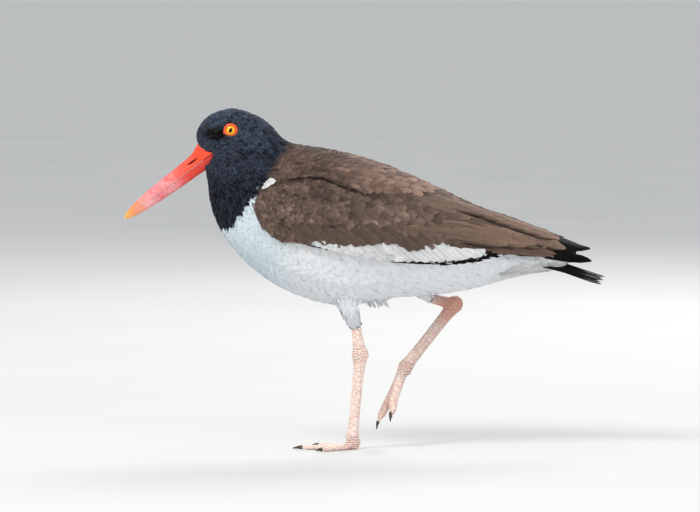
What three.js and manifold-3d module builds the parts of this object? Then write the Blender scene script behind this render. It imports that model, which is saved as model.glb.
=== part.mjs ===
// American oystercatcher, a still life-size model of the live bird in a slow walk: the left foot is
// planted under the body and the right foot is lifted behind it. Millimetres, +Z up. The bird faces -X
// and its left side is -Y. The origin is on the floor, under the middle of the whole model.
import * as THREE from "three";
import { mergeVertices } from "three/addons/utils/BufferGeometryUtils.js";
import Module from "manifold-3d";

const wasm = await Module();
wasm.setup();

// Clearance between touching pieces, and how finely the round shapes are faceted
const GAP = 0.3;
const BODY_SIDES = 22;
const BODY_STEPS = 2; // rings from one body station to the next
const BILL_SIDES = 12;
const LIMB_SIDES = 10;
const TOE_SIDES = 8;
const HALF_WIDTH = 80; // wider than half the bird, for cutting blocks

// Body stations from the bill's root to the wing tips. back and belly are the ends, [x, z], of a
// cross-section, half is its half-width, and low how much wider it is towards the belly than the back.
// sink and shell are how deep the trunk lies under mantle and wings, at the back and at the side.
const BODY_STATIONS = [
  { back: [-132.0, 240.4], belly: [-126.5, 220.4], half: 5.8, low: 0, sink: 0, shell: 0 },
  { back: [-133.9, 249.4], belly: [-125.6, 217.2], half: 7.4, low: 0, sink: 0, shell: 0 },
  { back: [-131.2, 256.6], belly: [-124.8, 213.2], half: 9.0, low: 0, sink: 0, shell: 0 },
  { back: [-123.2, 265.2], belly: [-124.2, 207.6], half: 12.2, low: -0.1, sink: 0, shell: 0 },
  { back: [-105.4, 270.7], belly: [-123.6, 200.6], half: 17.2, low: -0.12, sink: 0, shell: 0 },
  { back: [-86.8, 265.8], belly: [-122.0, 191.8], half: 19.4, low: -0.02, sink: 0, shell: 0 },
  { back: [-72.4, 256.4], belly: [-117.9, 180.6], half: 23.5, low: 0.12, sink: 0, shell: 0 },
  { back: [-61.2, 245.4], belly: [-109.6, 165.2], half: 32.0, low: 0.18, sink: 1.6, shell: 2.4 },
  { back: [-49.4, 242.4], belly: [-94.0, 147.6], half: 43.0, low: 0.12, sink: 3.0, shell: 5.2 },
  { back: [-34.0, 240.2], belly: [-69.8, 128.6], half: 50.0, low: 0.05, sink: 4.4, shell: 7.2 },
  { back: [-15.8, 236.6], belly: [-39.6, 116.2], half: 53.5, low: 0, sink: 5.2, shell: 8.4 },
  { back: [7.8, 230.2], belly: [-10.2, 113.4], half: 54.0, low: 0, sink: 6.2, shell: 8.8 },
  { back: [35.4, 219.4], belly: [23.8, 119.2], half: 50.0, low: 0, sink: 8.4, shell: 8.8 },
  { back: [63.0, 206.6], belly: [59.0, 121.8], half: 42.0, low: 0, sink: 11, shell: 8.6 },
  { back: [90.8, 193.6], belly: [89.0, 127.4], half: 33.0, low: 0, sink: 16, shell: 8.0 },
  { back: [118.4, 184.6], belly: [118.4, 135.6], half: 25.0, low: 0, sink: 21.5, shell: 7.0 },
  { back: [142.0, 174.8], belly: [142.0, 140.6], half: 19.5, low: 0, sink: 20, shell: 6.0 },
  { back: [160.0, 167.6], belly: [157.0, 142.8], half: 15.0, low: 0, sink: 18.0, shell: 5.5 },
];
const WING_TIP_STATIONS = [
  { back: [172.0, 162.6], belly: [170.0, 144.0], half: 11.0, low: 0 },
  { back: [181.0, 157.8], belly: [179.5, 146.0], half: 7.0, low: 0 },
];

// Cuts across the body, each through two points [x, z]
const HEAD_CUT = [[-70.5, 254.4], [-122.4, 193.8]];
const NECK_CUT = [[-58.6, 243.6], [-103.4, 157.2]];
const TAIL_COVERTS_CUT = [[92, 240], [112, 110]];
const WING_TIP_CUT = [[146, 200], [146, 130]];

// The folded wing seen from the side, [x, z], and the front of the mantle above it
const WING_TOP_EDGE = [
  [-86.2, 199.6], [-84.4, 206.4], [-79.6, 210.8], [-67.4, 214.6], [-48.4, 216.6], [-37.2, 217.2],
  [-29.4, 215.8], [-22.0, 211.6], [-11.4, 207.4], [0, 204.2], [20, 202.2], [40, 203.2], [56, 206.6],
];
const WING_BACK_CORNER = [[57.4, 226], [62, 250]];
const WING_TIP_EDGE = [[172, 180], [178.4, 160.2], [176, 158.2], [161.6, 157.4], [170, 152.6], [179.8, 149.8]];
const WING_LOWER_EDGE = [
  [168, 148.8], [159, 148.2], [144.6, 152.6], [130, 156], [117, 156.8], [101, 156], [90.8, 153.2],
  [78, 150.5], [59, 148.4], [43.4, 148.2], [31.4, 149.8], [12, 151.6], [-12, 157.2], [-37.2, 163.2],
  [-51.5, 165.4], [-67.3, 167.2], [-75, 171.8], [-81.5, 178.6], [-85.5, 187], [-86.8, 194],
];
const WING_OUTLINE = [...WING_TOP_EDGE, ...WING_BACK_CORNER, ...WING_TIP_EDGE, ...WING_LOWER_EDGE];
const MANTLE_OUTLINE = [[-62, 262], [-63.5, 240], [-70, 226], [-80, 205], [0, 180], [90, 180], [90, 262]];

// The bill, measured straight along its own axis and then dipped: how far along, above and below the
// axis, and half-width
const BILL = { x: -128.1, z: 230.3, dipDegrees: 36.8, mouth: -1.3 };
const BILL_STATIONS = [
  [-11, 0.2, 2.6, 8.6], [-8, 2.6, 4.6, 8.4], [-4, 6.6, 7.2, 7.6], [0, 9.0, 8.7, 6.2], [6, 8.0, 8.6, 5.4],
  [14, 7.1, 8.3, 4.8], [26, 6.8, 8.0, 4.3], [38, 6.4, 7.4, 3.7], [50, 5.9, 6.8, 3.1], [61, 4.9, 5.7, 2.5],
  [70, 3.3, 4.2, 1.9], [75.4, 1.6, 2.9, 1.4], [77.6, 0.1, 1.6, 0.8],
];
const EYE = { x: -105.8, y: 10.7, z: 252.9, radius: 6.2 };

// The closed tail is an arched fan of quills
const TAIL = {
  root: [118, 152.2], tip: [188.8, 135.6], rootHalf: 13, tipHalf: 21, thick: 2.4, tipThick: 1.2, arch: 2.8,
};
const TAIL_START = 140; // x where it comes out from between the coverts

// Each leg: feathered thigh, bare shin, ankle, tarsus and foot. Points are [x, y, z], and the two radii
// of a section are deep, along the bird, and wide, across it.
const LEGS = [
  {
    side: "left",
    outward: 1,
    thigh: [[-15, -14.6, 121], [-12, -13.6, 111], [-9.8, -12.6, 104], [-7.2, -11.4, 97.4]],
    thighDeep: [12, 8.2, 6.2, 4.7],
    ankle: [-3.9, -9.5, 75.6],
    foot: [-10.2, 0.6, 7.2],
    tarsusDeep: [6.1, 4.6, 4.2, 4.3, 5.6],
    lean: 1,
    footDegrees: 0,
    turnDegrees: 6,
    sole: 7.2,
  },
  {
    side: "right",
    outward: -1,
    thigh: [[8.4, 20, 127], [22, 20, 131], [38, 19.4, 128], [54, 18.2, 118.4]],
    thighDeep: [16, 12, 7.6, 4.7],
    ankle: [70.8, 17, 113.6],
    foot: [30.6, 12, 62.8],
    tarsusDeep: [6.2, 5.0, 4.7, 4.8, 6.0],
    lean: 0.9,
    footDegrees: -63,
    turnDegrees: 0,
    sole: 3,
  },
];
const THIGH_FLATNESS = 0.86; // width to depth
const SHIN_RADII = { deep: [4.1, 4.2, 4.9, 6.3], wide: [3.0, 3.1, 3.7, 4.8] };
const TARSUS_WIDE = [4.7, 3.5, 3.0, 3.3, 5.0];
const KNUCKLE = { deep: 7.0, wide: 5.2, tall: 7.8 };
const FOOT_BALL = { deep: 6.0, wide: 5.3, tall: 6.2, back: 0.8, standing: 5.4 }; // at the lower end of the tarsus
const TOES = [
  { name: "inner", length: 32, pads: 2, claw: 6.6, spread: -36, width: 6.6 },
  { name: "middle", length: 41, pads: 3, claw: 8.0, spread: 2, width: 7.2 },
  { name: "outer", length: 35, pads: 4, claw: 6.6, spread: 39, width: 6.6 },
];
const TOE_HEIGHT = 5;
const LIFTED_SPREAD = 0.4; // how much of the spread is left in a lifted foot
const LIFTED_CURL = { inner: 0.16, middle: 0, outer: 0.2 };
const LIFTED = { length: 1.12, width: 1.35, height: 1.75 }; // toes of a lifted foot hang loose and round
const CLAW_RADIUS = 1.8;

// Finishes
const finish = (color, roughness) => new THREE.MeshStandardMaterial({ color, roughness, metalness: 0 });
const BLACK_PLUMAGE = finish(0x1b1d22, 0.75);
const WHITE_PLUMAGE = finish(0xe4e6e6, 0.85);
const BROWN_PLUMAGE = finish(0x6b5545, 0.75);
const DARK_QUILLS = finish(0x17130f, 0.6);
const RED_HORN = finish(0xe8432f, 0.35);
const YELLOW_EYE = finish(0xf0a81e, 0.1);
const PINK_SKIN = finish(0xe6bfae, 0.55);
const DARK_CLAW = finish(0x2a211d, 0.4);

// Smooth value at place t, counted in stations, of a quantity listed at the stations
function between(values, t) {
  const last = values.length - 1;
  const i = Math.min(Math.floor(t), last - 1);
  const f = t - i;
  const at = (k) => values[Math.min(Math.max(k, 0), last)];
  const [a, b, c, d] = [at(i - 1), at(i), at(i + 1), at(i + 2)];
  return 0.5 * (2 * b + (c - a) * f + (2 * a - 5 * b + 4 * c - d) * f ** 2 + (3 * b - 3 * c + d - a) * f ** 3);
}

// Points round a section, from a function of the turn
function ring(sides, pointAt) {
  return Array.from({ length: sides }, (_, j) => pointAt((2 * Math.PI * j) / sides));
}

// Closed skin over a row of rings, with a fan over each end
function loft(rings) {
  const sides = rings[0].length;
  const last = rings.length - 1;
  const points = rings.flat();
  const faces = [];
  const middle = (points) => points.reduce((sum, p) => sum.add(p), new THREE.Vector3()).divideScalar(sides);
  const ends = [points.push(middle(rings[0])) - 1, points.push(middle(rings[last])) - 1];
  for (let j = 0; j < sides; j++) {
    const next = (j + 1) % sides;
    faces.push(ends[0], next, j, ends[1], last * sides + j, last * sides + next);
    for (let i = 0; i < last; i++) {
      const [a, b] = [i * sides + j, i * sides + next];
      faces.push(a, b, a + sides, b, b + sides, a + sides);
    }
  }
  return solid(new THREE.BufferGeometry().setFromPoints(points).setIndex(faces));
}

// A three.js shape as a solid that can be cut. Faces that point inwards are turned over.
function solid(geometry) {
  const bare = geometry.index ? geometry.toNonIndexed() : geometry.clone();
  for (const name of Object.keys(bare.attributes)) if (name !== "position") bare.deleteAttribute(name);
  const merged = mergeVertices(bare, 1e-3);
  const vertProperties = merged.attributes.position.array;
  const facing = (order) => {
    const index = merged.index.array;
    const triVerts = Uint32Array.from(index, (_, k) => index[k - (k % 3) + order[k % 3]]);
    return new wasm.Manifold(new wasm.Mesh({ numProp: 3, vertProperties, triVerts }));
  };
  const made = facing([0, 1, 2]);
  return made.volume() > 0 ? made : facing([0, 2, 1]);
}

// A cut can leave slivers beside a piece, so only its largest body is kept.
function geometryOf(made) {
  const largest = made.decompose().reduce((a, b) => (a.volume() > b.volume() ? a : b));
  const mesh = largest.getMesh();
  const position = new Float32Array(mesh.numVert * 3);
  for (let i = 0; i < mesh.numVert; i++)
    position.set(mesh.vertProperties.subarray(i * mesh.numProp, i * mesh.numProp + 3), i * 3);
  return new THREE.BufferGeometry()
    .setAttribute("position", new THREE.BufferAttribute(position, 3))
    .setIndex(new THREE.BufferAttribute(mesh.triVerts, 1));
}

const bird = new THREE.Group();
function addNode(name, made, material, parent = bird) {
  const mesh = new THREE.Mesh(geometryOf(made), material);
  mesh.name = name;
  parent.add(mesh);
}
const placed = (made, matrix) => made.transform(matrix.elements);

// One round section of the body, widened towards the belly by low and grown by grow. The trunk's own
// section lies sunk under the mantle and wings.
function bodyRing(stations, t, grow, sunk) {
  const value = (read) => between(stations.map(read), t);
  const back = new THREE.Vector3(value((s) => s.back[0]), 0, value((s) => s.back[1]));
  const belly = new THREE.Vector3(value((s) => s.belly[0]), 0, value((s) => s.belly[1]));
  const up = back.clone().sub(belly).normalize();
  if (sunk) back.addScaledVector(up, -value((s) => s.sink));
  const centre = back.clone().add(belly).multiplyScalar(0.5);
  const tall = back.distanceTo(belly) / 2 + grow;
  const wide = value((s) => s.half) - (sunk ? value((s) => s.shell) : 0) + grow;
  const low = value((s) => s.low);
  return ring(BODY_SIDES, (turn) => {
    const rise = Math.cos(turn);
    return centre.clone().addScaledVector(up, tall * rise).setY(wide * Math.sin(turn) * (1 - low * rise));
  });
}

function bodySolid(stations, grow, sunk) {
  const count = (stations.length - 1) * BODY_STEPS;
  const rings = Array.from({ length: count + 1 }, (_, k) => bodyRing(stations, k / BODY_STEPS, grow, sunk));
  return loft(rings);
}

// The block from one y to another inside an outline, [x, z], grown by a distance
function block(outline, grow, fromY, toY) {
  const turn = Math.sign(THREE.ShapeUtils.area(outline.map(([x, z]) => new THREE.Vector2(x, z))));
  const corners = outline.map(([x, z], i) => {
    const before = new THREE.Vector2(...outline[(i + outline.length - 1) % outline.length]);
    const along = new THREE.Vector2(...outline[(i + 1) % outline.length]).sub(before).normalize();
    return new THREE.Vector2(x + turn * grow * along.y, z - turn * grow * along.x);
  });
  const extrusion = new THREE.ExtrudeGeometry(new THREE.Shape(corners), {
    depth: toY - fromY,
    bevelEnabled: false,
  });
  extrusion.rotateX(Math.PI / 2).translate(0, toY, 0);
  return solid(extrusion);
}

// What lies before or behind a cut across the body, half a gap away from it
function beside(made, [p, q], keep) {
  const normal = new THREE.Vector3(p[1] - q[1], 0, q[0] - p[0]).normalize();
  const offset = normal.x * p[0] + normal.z * p[1];
  return keep === "behind"
    ? made.trimByPlane(normal.toArray(), offset + GAP / 2)
    : made.trimByPlane(normal.negate().toArray(), -offset + GAP / 2);
}

// Limb along points, [x, y, z], whose sections have the listed radii
function limb(points, deep, wide, grow, steps) {
  const path = new THREE.CatmullRomCurve3(points.map((p) => new THREE.Vector3(...p)));
  const rings = Array.from({ length: steps + 1 }, (_, k) => {
    const centre = path.getPoint(k / steps);
    const along = path.getTangent(k / steps);
    const across = new THREE.Vector3(0, 1, 0).addScaledVector(along, -along.y).normalize();
    const fore = across.clone().cross(along).normalize();
    const place = (k / steps) * (deep.length - 1);
    return ring(LIMB_SIDES, (turn) =>
      centre
        .clone()
        .addScaledVector(fore, (between(deep, place) + grow) * Math.cos(turn))
        .addScaledVector(across, (between(wide, place) + grow) * Math.sin(turn)),
    );
  });
  return loft(rings);
}

// Bill, straight along -X from its root
function billSolid(grow) {
  return loft(
    BILL_STATIONS.map(([along, above, below, half]) =>
      ring(BILL_SIDES, (turn) => {
        const rise = Math.cos(turn);
        const reach = (rise > 0 ? above : below) + grow;
        return new THREE.Vector3(-along, (half + grow) * Math.sin(turn), reach * rise);
      }),
    ),
  );
}

function eyeSolid(side, grow) {
  const ball = new THREE.SphereGeometry(EYE.radius + grow, 12, 8);
  ball.translate(EYE.x, side * EYE.y, EYE.z);
  return solid(ball);
}

const thighSolid = (leg, grow) =>
  limb(leg.thigh, leg.thighDeep, leg.thighDeep.map((r) => r * THIGH_FLATNESS), grow, 8);

// Tarsus with the ankle's knuckle on its upper end
function tarsusSolid(leg, grow) {
  const ankle = new THREE.Vector3(...leg.ankle);
  const foot = new THREE.Vector3(...leg.foot);
  const points = [0.02, 0.16, 0.5, 0.82, 0.985].map((f) => ankle.clone().lerp(foot, f).toArray());
  const shaft = limb(points, leg.tarsusDeep, TARSUS_WIDE, grow, 10);
  const knuckle = new THREE.SphereGeometry(1, 10, 7);
  knuckle.scale(KNUCKLE.deep + grow, KNUCKLE.wide + grow, KNUCKLE.tall + grow);
  knuckle.rotateY(-leg.lean * Math.atan2(foot.x - ankle.x, ankle.z - foot.z));
  knuckle.translate(...leg.ankle);
  const ball = new THREE.SphereGeometry(1, 10, 7);
  ball.scale(FOOT_BALL.deep + grow, FOOT_BALL.wide + grow, FOOT_BALL.tall + grow);
  ball.translate(leg.foot[0] + FOOT_BALL.back, leg.foot[1], leg.footDegrees ? leg.foot[2] : FOOT_BALL.standing);
  const made = shaft.add(solid(knuckle)).add(solid(ball));
  return leg.footDegrees ? made : made.trimByPlane([0, 0, 1], -grow);
}

function shinSolid(leg) {
  const top = new THREE.Vector3(...leg.thigh.at(-1));
  const ankle = new THREE.Vector3(...leg.ankle);
  const points = [-0.06, 0.33, 0.66, 0.95].map((f) => top.clone().lerp(ankle, f).toArray());
  return limb(points, SHIN_RADII.deep, SHIN_RADII.wide, 0, 6);
}

const toeLength = (leg, toe) => toe.length * (leg.footDegrees ? LIFTED.length : 1);

// How far the middle of a toe lies under the foot's joint, a share u of the way along the toe
function toeFall(leg, toe, u) {
  const toSole = leg.sole - TOE_HEIGHT / 2 + 0.45;
  const curl = leg.footDegrees ? LIFTED_CURL[toe.name] : 0;
  const fall = leg.footDegrees ? THREE.MathUtils.smoothstep(u, 0, 0.4) : THREE.MathUtils.smoothstep(u, -0.3, 0.22);
  return toSole * fall + curl * toeLength(leg, toe) * u ** 2;
}

// Toe along -X from the foot's joint, with a swelling for each pad
function toeSolid(leg, toe, grow) {
  const steps = 8;
  return loft(
    Array.from({ length: steps + 1 }, (_, k) => {
      const u = k / steps;
      const pad = 1 + 0.1 * Math.cos(2 * Math.PI * u * toe.pads);
      const blunt = u < 1 ? 1 : 0.35;
      const wide = (toe.width / 2) * (leg.footDegrees ? LIFTED.width : 1) * (1 - 0.36 * u) * pad * blunt + grow;
      const press = leg.footDegrees ? LIFTED.height : 1;
      const tall = (TOE_HEIGHT / 2) * press * (1 - 0.3 * u) * blunt + grow;
      const centre = new THREE.Vector3(-(toeLength(leg, toe) + grow) * u, 0, -toeFall(leg, toe, u));
      return ring(TOE_SIDES, (turn) =>
        centre.clone().add(new THREE.Vector3(0, wide * Math.sin(turn), tall * Math.cos(turn))),
      );
    }),
  );
}

// Claw, a hooked tapering horn over the toe's tip
function clawSolid(leg, toe) {
  const steps = 4;
  const hook = leg.footDegrees ? 2.6 : 1.4;
  return loft(
    Array.from({ length: steps + 1 }, (_, k) => {
      const u = k / steps;
      const radius = CLAW_RADIUS * (1 - 0.78 * u);
      const centre = new THREE.Vector3(-toeLength(leg, toe) * 0.97 - toe.claw * u, 0, 0.8 * u - hook * u ** 2);
      centre.z -= toeFall(leg, toe, 0.97);
      return ring(6, (turn) =>
        centre.clone().add(new THREE.Vector3(0, 0.85 * radius * Math.sin(turn), radius * Math.cos(turn))),
      );
    }),
  );
}

// Foot: three toes with claws, set round the lower end of the tarsus and flat underneath
function addFoot(leg) {
  const foot = new THREE.Group();
  foot.position.set(...leg.foot);
  foot.rotation.y = THREE.MathUtils.degToRad(leg.footDegrees);
  foot.updateMatrix();
  bird.add(foot);
  const tarsus = placed(tarsusSolid(leg, GAP), foot.matrix.clone().invert());
  const turned = (toe, made) => {
    const spread = toe.spread * (leg.footDegrees ? LIFTED_SPREAD : 1) + leg.turnDegrees;
    return placed(made, new THREE.Matrix4().makeRotationZ(THREE.MathUtils.degToRad(leg.outward * spread)));
  };
  let taken = tarsus;
  for (const toe of [TOES[1], TOES[0], TOES[2]]) {
    const trimmed = (made) => turned(toe, made).trimByPlane([0, 0, 1], -leg.foot[2]).subtract(taken);
    addNode(`toe_${toe.name}_${leg.side}`, trimmed(toeSolid(leg, toe, 0)), PINK_SKIN, foot);
    const claw = clawSolid(leg, toe).subtract(toeSolid(leg, toe, GAP));
    addNode(`claw_${toe.name}_${leg.side}`, trimmed(claw), DARK_CLAW, foot);
    taken = taken.add(turned(toe, toeSolid(leg, toe, GAP)));
  }
}

// The tail's section, a thin arch, a share u of the way to its tip
function tailRing(u) {
  const { lerp } = THREE.MathUtils;
  const half = lerp(TAIL.rootHalf, TAIL.tipHalf, u);
  const thick = lerp(TAIL.thick, TAIL.tipThick, u);
  const shorter = u === 1 ? 6 : 0; // the outer quills end before the middle ones
  return ring(14, (turn) => {
    const v = Math.cos(turn);
    const x = lerp(TAIL.root[0], TAIL.tip[0], u) - shorter * v ** 2;
    const z = lerp(TAIL.root[1], TAIL.tip[1], u ** 1.15) - TAIL.arch * v ** 2;
    return new THREE.Vector3(x, half * v, z + (thick / 2) * Math.sin(turn));
  });
}

// Head, neck, trunk and tail coverts are one body, parted by the cuts
const body = bodySolid(BODY_STATIONS, 0, true);
const bodySpace = bodySolid(BODY_STATIONS, GAP, true);
const billPlace = new THREE.Group();
billPlace.position.set(BILL.x, 0, BILL.z);
billPlace.rotation.y = -THREE.MathUtils.degToRad(BILL.dipDegrees);
billPlace.updateMatrix();
bird.add(billPlace);

let head = beside(body, HEAD_CUT, "before").subtract(placed(billSolid(GAP), billPlace.matrix));
for (const side of [-1, 1]) head = head.subtract(eyeSolid(side, GAP));
addNode("head", head, BLACK_PLUMAGE);
addNode("neck", beside(beside(body, HEAD_CUT, "behind"), NECK_CUT, "before"), BLACK_PLUMAGE);
addNode("trunk", beside(beside(body, NECK_CUT, "behind"), TAIL_COVERTS_CUT, "before"), WHITE_PLUMAGE);
addNode("tail_coverts", beside(body, TAIL_COVERTS_CUT, "behind"), WHITE_PLUMAGE);

// Bill in two halves, with the line of the mouth between them, and the eyes
addNode("bill_upper", billSolid(0).trimByPlane([0, 0, 1], BILL.mouth + GAP / 2), RED_HORN, billPlace);
addNode("bill_lower", billSolid(0).trimByPlane([0, 0, -1], -BILL.mouth + GAP / 2), RED_HORN, billPlace);
addNode("eye_left", eyeSolid(-1, 0), YELLOW_EYE);
addNode("eye_right", eyeSolid(1, 0), YELLOW_EYE);

// The mantle and the two folded wings lie over the trunk as a shell
const shell = bodySolid([...BODY_STATIONS, ...WING_TIP_STATIONS], 0, false).subtract(bodySpace);
const wingSpace = block(WING_OUTLINE, GAP, -HALF_WIDTH, HALF_WIDTH);
const mantle = shell.intersect(block(MANTLE_OUTLINE, 0, -HALF_WIDTH, HALF_WIDTH)).subtract(wingSpace);
addNode("mantle", mantle, BROWN_PLUMAGE);
const leftWing = shell.intersect(block(WING_OUTLINE, 0, -HALF_WIDTH, -GAP / 2));
const rightWing = shell.intersect(block(WING_OUTLINE, 0, GAP / 2, HALF_WIDTH));
for (const [name, wing] of [["left", leftWing], ["right", rightWing]]) {
  addNode(`wing_${name}`, beside(wing, WING_TIP_CUT, "before"), BROWN_PLUMAGE);
  addNode(`wing_tip_${name}`, beside(wing, WING_TIP_CUT, "behind"), DARK_QUILLS);
}
const tail = loft([0, 0.3, 0.65, 0.92, 1].map(tailRing)).subtract(bodySpace).subtract(wingSpace);
addNode("tail", tail.trimByPlane([1, 0, 0], TAIL_START), DARK_QUILLS);

for (const leg of LEGS) {
  addNode(`thigh_${leg.side}`, thighSolid(leg, 0).subtract(bodySpace), WHITE_PLUMAGE);
  const shin = shinSolid(leg).subtract(thighSolid(leg, GAP)).subtract(tarsusSolid(leg, GAP));
  addNode(`shin_${leg.side}`, shin.subtract(bodySpace), PINK_SKIN);
  addNode(`tarsus_${leg.side}`, tarsusSolid(leg, 0), PINK_SKIN);
  addFoot(leg);
}

export default bird;
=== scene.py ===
import math

import bmesh
import bpy
import numpy as np
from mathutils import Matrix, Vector
from mathutils.bvhtree import BVHTree
from mathutils.kdtree import KDTree


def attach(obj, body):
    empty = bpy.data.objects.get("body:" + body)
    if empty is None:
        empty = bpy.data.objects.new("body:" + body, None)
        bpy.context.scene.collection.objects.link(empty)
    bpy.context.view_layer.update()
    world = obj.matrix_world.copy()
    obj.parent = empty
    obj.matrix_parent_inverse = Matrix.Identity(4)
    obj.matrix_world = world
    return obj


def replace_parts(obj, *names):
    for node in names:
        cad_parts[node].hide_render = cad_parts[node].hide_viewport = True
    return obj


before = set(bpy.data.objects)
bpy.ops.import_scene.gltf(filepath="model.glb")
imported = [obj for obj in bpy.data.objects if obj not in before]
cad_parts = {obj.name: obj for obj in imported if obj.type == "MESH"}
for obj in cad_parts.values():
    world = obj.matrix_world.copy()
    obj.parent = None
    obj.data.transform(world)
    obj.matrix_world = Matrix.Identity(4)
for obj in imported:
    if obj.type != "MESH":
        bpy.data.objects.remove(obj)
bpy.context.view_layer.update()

MM = 0.001
SEED = 11
PATCH = 0.003  # width of a feather's place on the baked image


# Camera, floor and light, with lengths in metres

PHOTO_SIZE = (700, 512)  # pixels
MM_PER_PIXEL = 0.79
ORIGIN_PIXEL = (365.2, 450.0)  # where the frame's origin is in the photograph
CAMERA_DISTANCE = 4.0
CAMERA_RISE = math.radians(3.0)
CAMERA_REACH = 400.0  # how far it sees
SENSOR_WIDTH = 36.0  # millimetres, as is the lens
FLOOR_REACH = 190.0
FLOOR_COLOURS = ((0.66, 0.665, 0.66, 1), (0.69, 0.69, 0.685, 1))
LAMP_AIM = Vector((0, 0, 0.15))
LAMPS = [  # name, place, width, watts and colour
    ("key", (-1.3, -1.7, 2.2), 1.1, 50, (1.0, 0.965, 0.92)),
    ("fill", (1.6, -2.2, 0.9), 1.8, 17, (0.9, 0.95, 1.0)),
    ("back", (0.8, 2.0, 1.8), 1.2, 30, (1.0, 0.98, 0.95)),
]
SKY_COLOUR = (0.86, 0.88, 0.9, 1)
SKY_STRENGTH = 0.82


def in_scene(name, data):
    made = bpy.data.objects.new(name, data)
    bpy.context.scene.collection.objects.link(made)
    return made


def place_camera():
    centre_x = (PHOTO_SIZE[0] / 2 - ORIGIN_PIXEL[0]) * MM_PER_PIXEL * MM
    centre_z = (ORIGIN_PIXEL[1] - PHOTO_SIZE[1] / 2) * MM_PER_PIXEL * MM
    data = bpy.data.cameras.new("camera")
    data.sensor_width = SENSOR_WIDTH
    data.lens = SENSOR_WIDTH * CAMERA_DISTANCE / (PHOTO_SIZE[0] * MM_PER_PIXEL * MM)
    data.clip_end = CAMERA_REACH
    camera = in_scene("camera", data)
    back = Vector((0, -math.cos(CAMERA_RISE), math.sin(CAMERA_RISE)))
    camera.location = Vector((centre_x, 0, centre_z)) + back * CAMERA_DISTANCE
    camera.rotation_euler = (math.pi / 2 - CAMERA_RISE, 0, 0)
    bpy.context.scene.camera = camera


def light_studio():
    for name, place, width, watts, colour in LAMPS:
        data = bpy.data.lights.new(name, "AREA")
        data.shape = "DISK"
        data.size = width
        data.energy = watts
        data.color = colour
        lamp = in_scene(name, data)
        lamp.location = place
        lamp.rotation_euler = (LAMP_AIM - Vector(place)).to_track_quat("-Z", "Y").to_euler()
    world = bpy.data.worlds.new("studio")
    bpy.context.scene.world = world
    world.use_nodes = True
    sky = world.node_tree.nodes["Background"]
    sky.inputs["Color"].default_value = SKY_COLOUR
    sky.inputs["Strength"].default_value = SKY_STRENGTH
    bpy.context.scene.view_settings.view_transform = "Standard"


# Shader and mesh helpers


class Finish:
    """A material's node tree, with short ways to add and join nodes."""

    def __init__(self, name):
        self.material = bpy.data.materials.new(name)
        self.material.use_nodes = True
        self.tree = self.material.node_tree
        self.shader = self.tree.nodes["Principled BSDF"]

    def node(self, kind, links=None, **settings):
        made = self.tree.nodes.new("ShaderNode" + kind)
        for key, value in settings.items():
            setattr(made, key, value)
        for socket, source in (links or {}).items():
            self.join(source, made.inputs[socket])
        return made

    def join(self, source, socket):
        if isinstance(source, bpy.types.NodeSocket):
            self.tree.links.new(source, socket)
        else:
            socket.default_value = source

    def set(self, **values):
        """Sets or joins the shader's sockets, with _ for each space in a name."""
        for name, value in values.items():
            self.join(value, self.shader.inputs[name.replace("_", " ")])

    def maths(self, operation, a, b=0.0, c=0.0):
        return self.node("Math", {0: a, 1: b, 2: c}, operation=operation).outputs[0]

    def times(self, a, b):
        return self.maths("MULTIPLY", a, b)

    def squares(self, a, b):
        return self.maths("ADD", self.times(a, a), self.times(b, b))

    def vectors(self, operation, a, b):
        """The difference of two vectors, or the number that their distance or product is."""
        made = self.node("VectorMath", {0: a, 1: b}, operation=operation)
        return made.outputs["Vector" if operation == "SUBTRACT" else "Value"]

    def mix(self, share, a, b, blend="MIX"):
        return self.node("Mix", {0: share, 6: a, 7: b}, data_type="RGBA", blend_type=blend).outputs[2]

    def shaded(self, colour, shade):
        return self.mix(1.0, colour, shade, "MULTIPLY")

    def ramp(self, value, *stops):
        made = self.node("ValToRGB", {0: value})
        elements = made.color_ramp.elements
        while len(elements) < len(stops):
            elements.new(0.5)
        for element, (place, colour) in zip(elements, stops):
            element.position = place
            element.color = colour if isinstance(colour, tuple) else (colour, colour, colour, 1)
        return made.outputs[0]

    def noise(self, vector, scale, detail=2.0, roughness=0.5):
        links = {"Vector": vector, "Scale": scale, "Detail": detail, "Roughness": roughness}
        return self.node("TexNoise", links).outputs["Fac"]

    def stretched(self, vector, scale):
        return self.node("Mapping", {"Vector": vector, "Scale": scale}).outputs[0]

    def place(self):
        return self.node("TexCoord").outputs["Object"]

    def on_map(self, name):
        return self.node("UVMap", uv_map=name).outputs[0]

    def coat(self):
        return self.node("Attribute", attribute_name="coat").outputs["Color"]

    def split(self, vector):
        return self.node("SeparateXYZ", {0: vector}).outputs

    def bump(self, height, distance, normal=None):
        made = self.node("Bump", {"Height": height, "Distance": distance})
        if normal is not None:
            self.join(normal, made.inputs["Normal"])
        return made.outputs[0]


def srgb(red, green, blue):
    """A colour as seen on a screen, 0 to 255, as linear light."""
    seen = np.array([red, green, blue]) / 255
    return np.where(seen <= 0.04045, seen / 12.92, ((seen + 0.055) / 1.055) ** 2.4)


def solid_colour(red, green, blue):
    return (*srgb(red, green, blue), 1.0)


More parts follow.
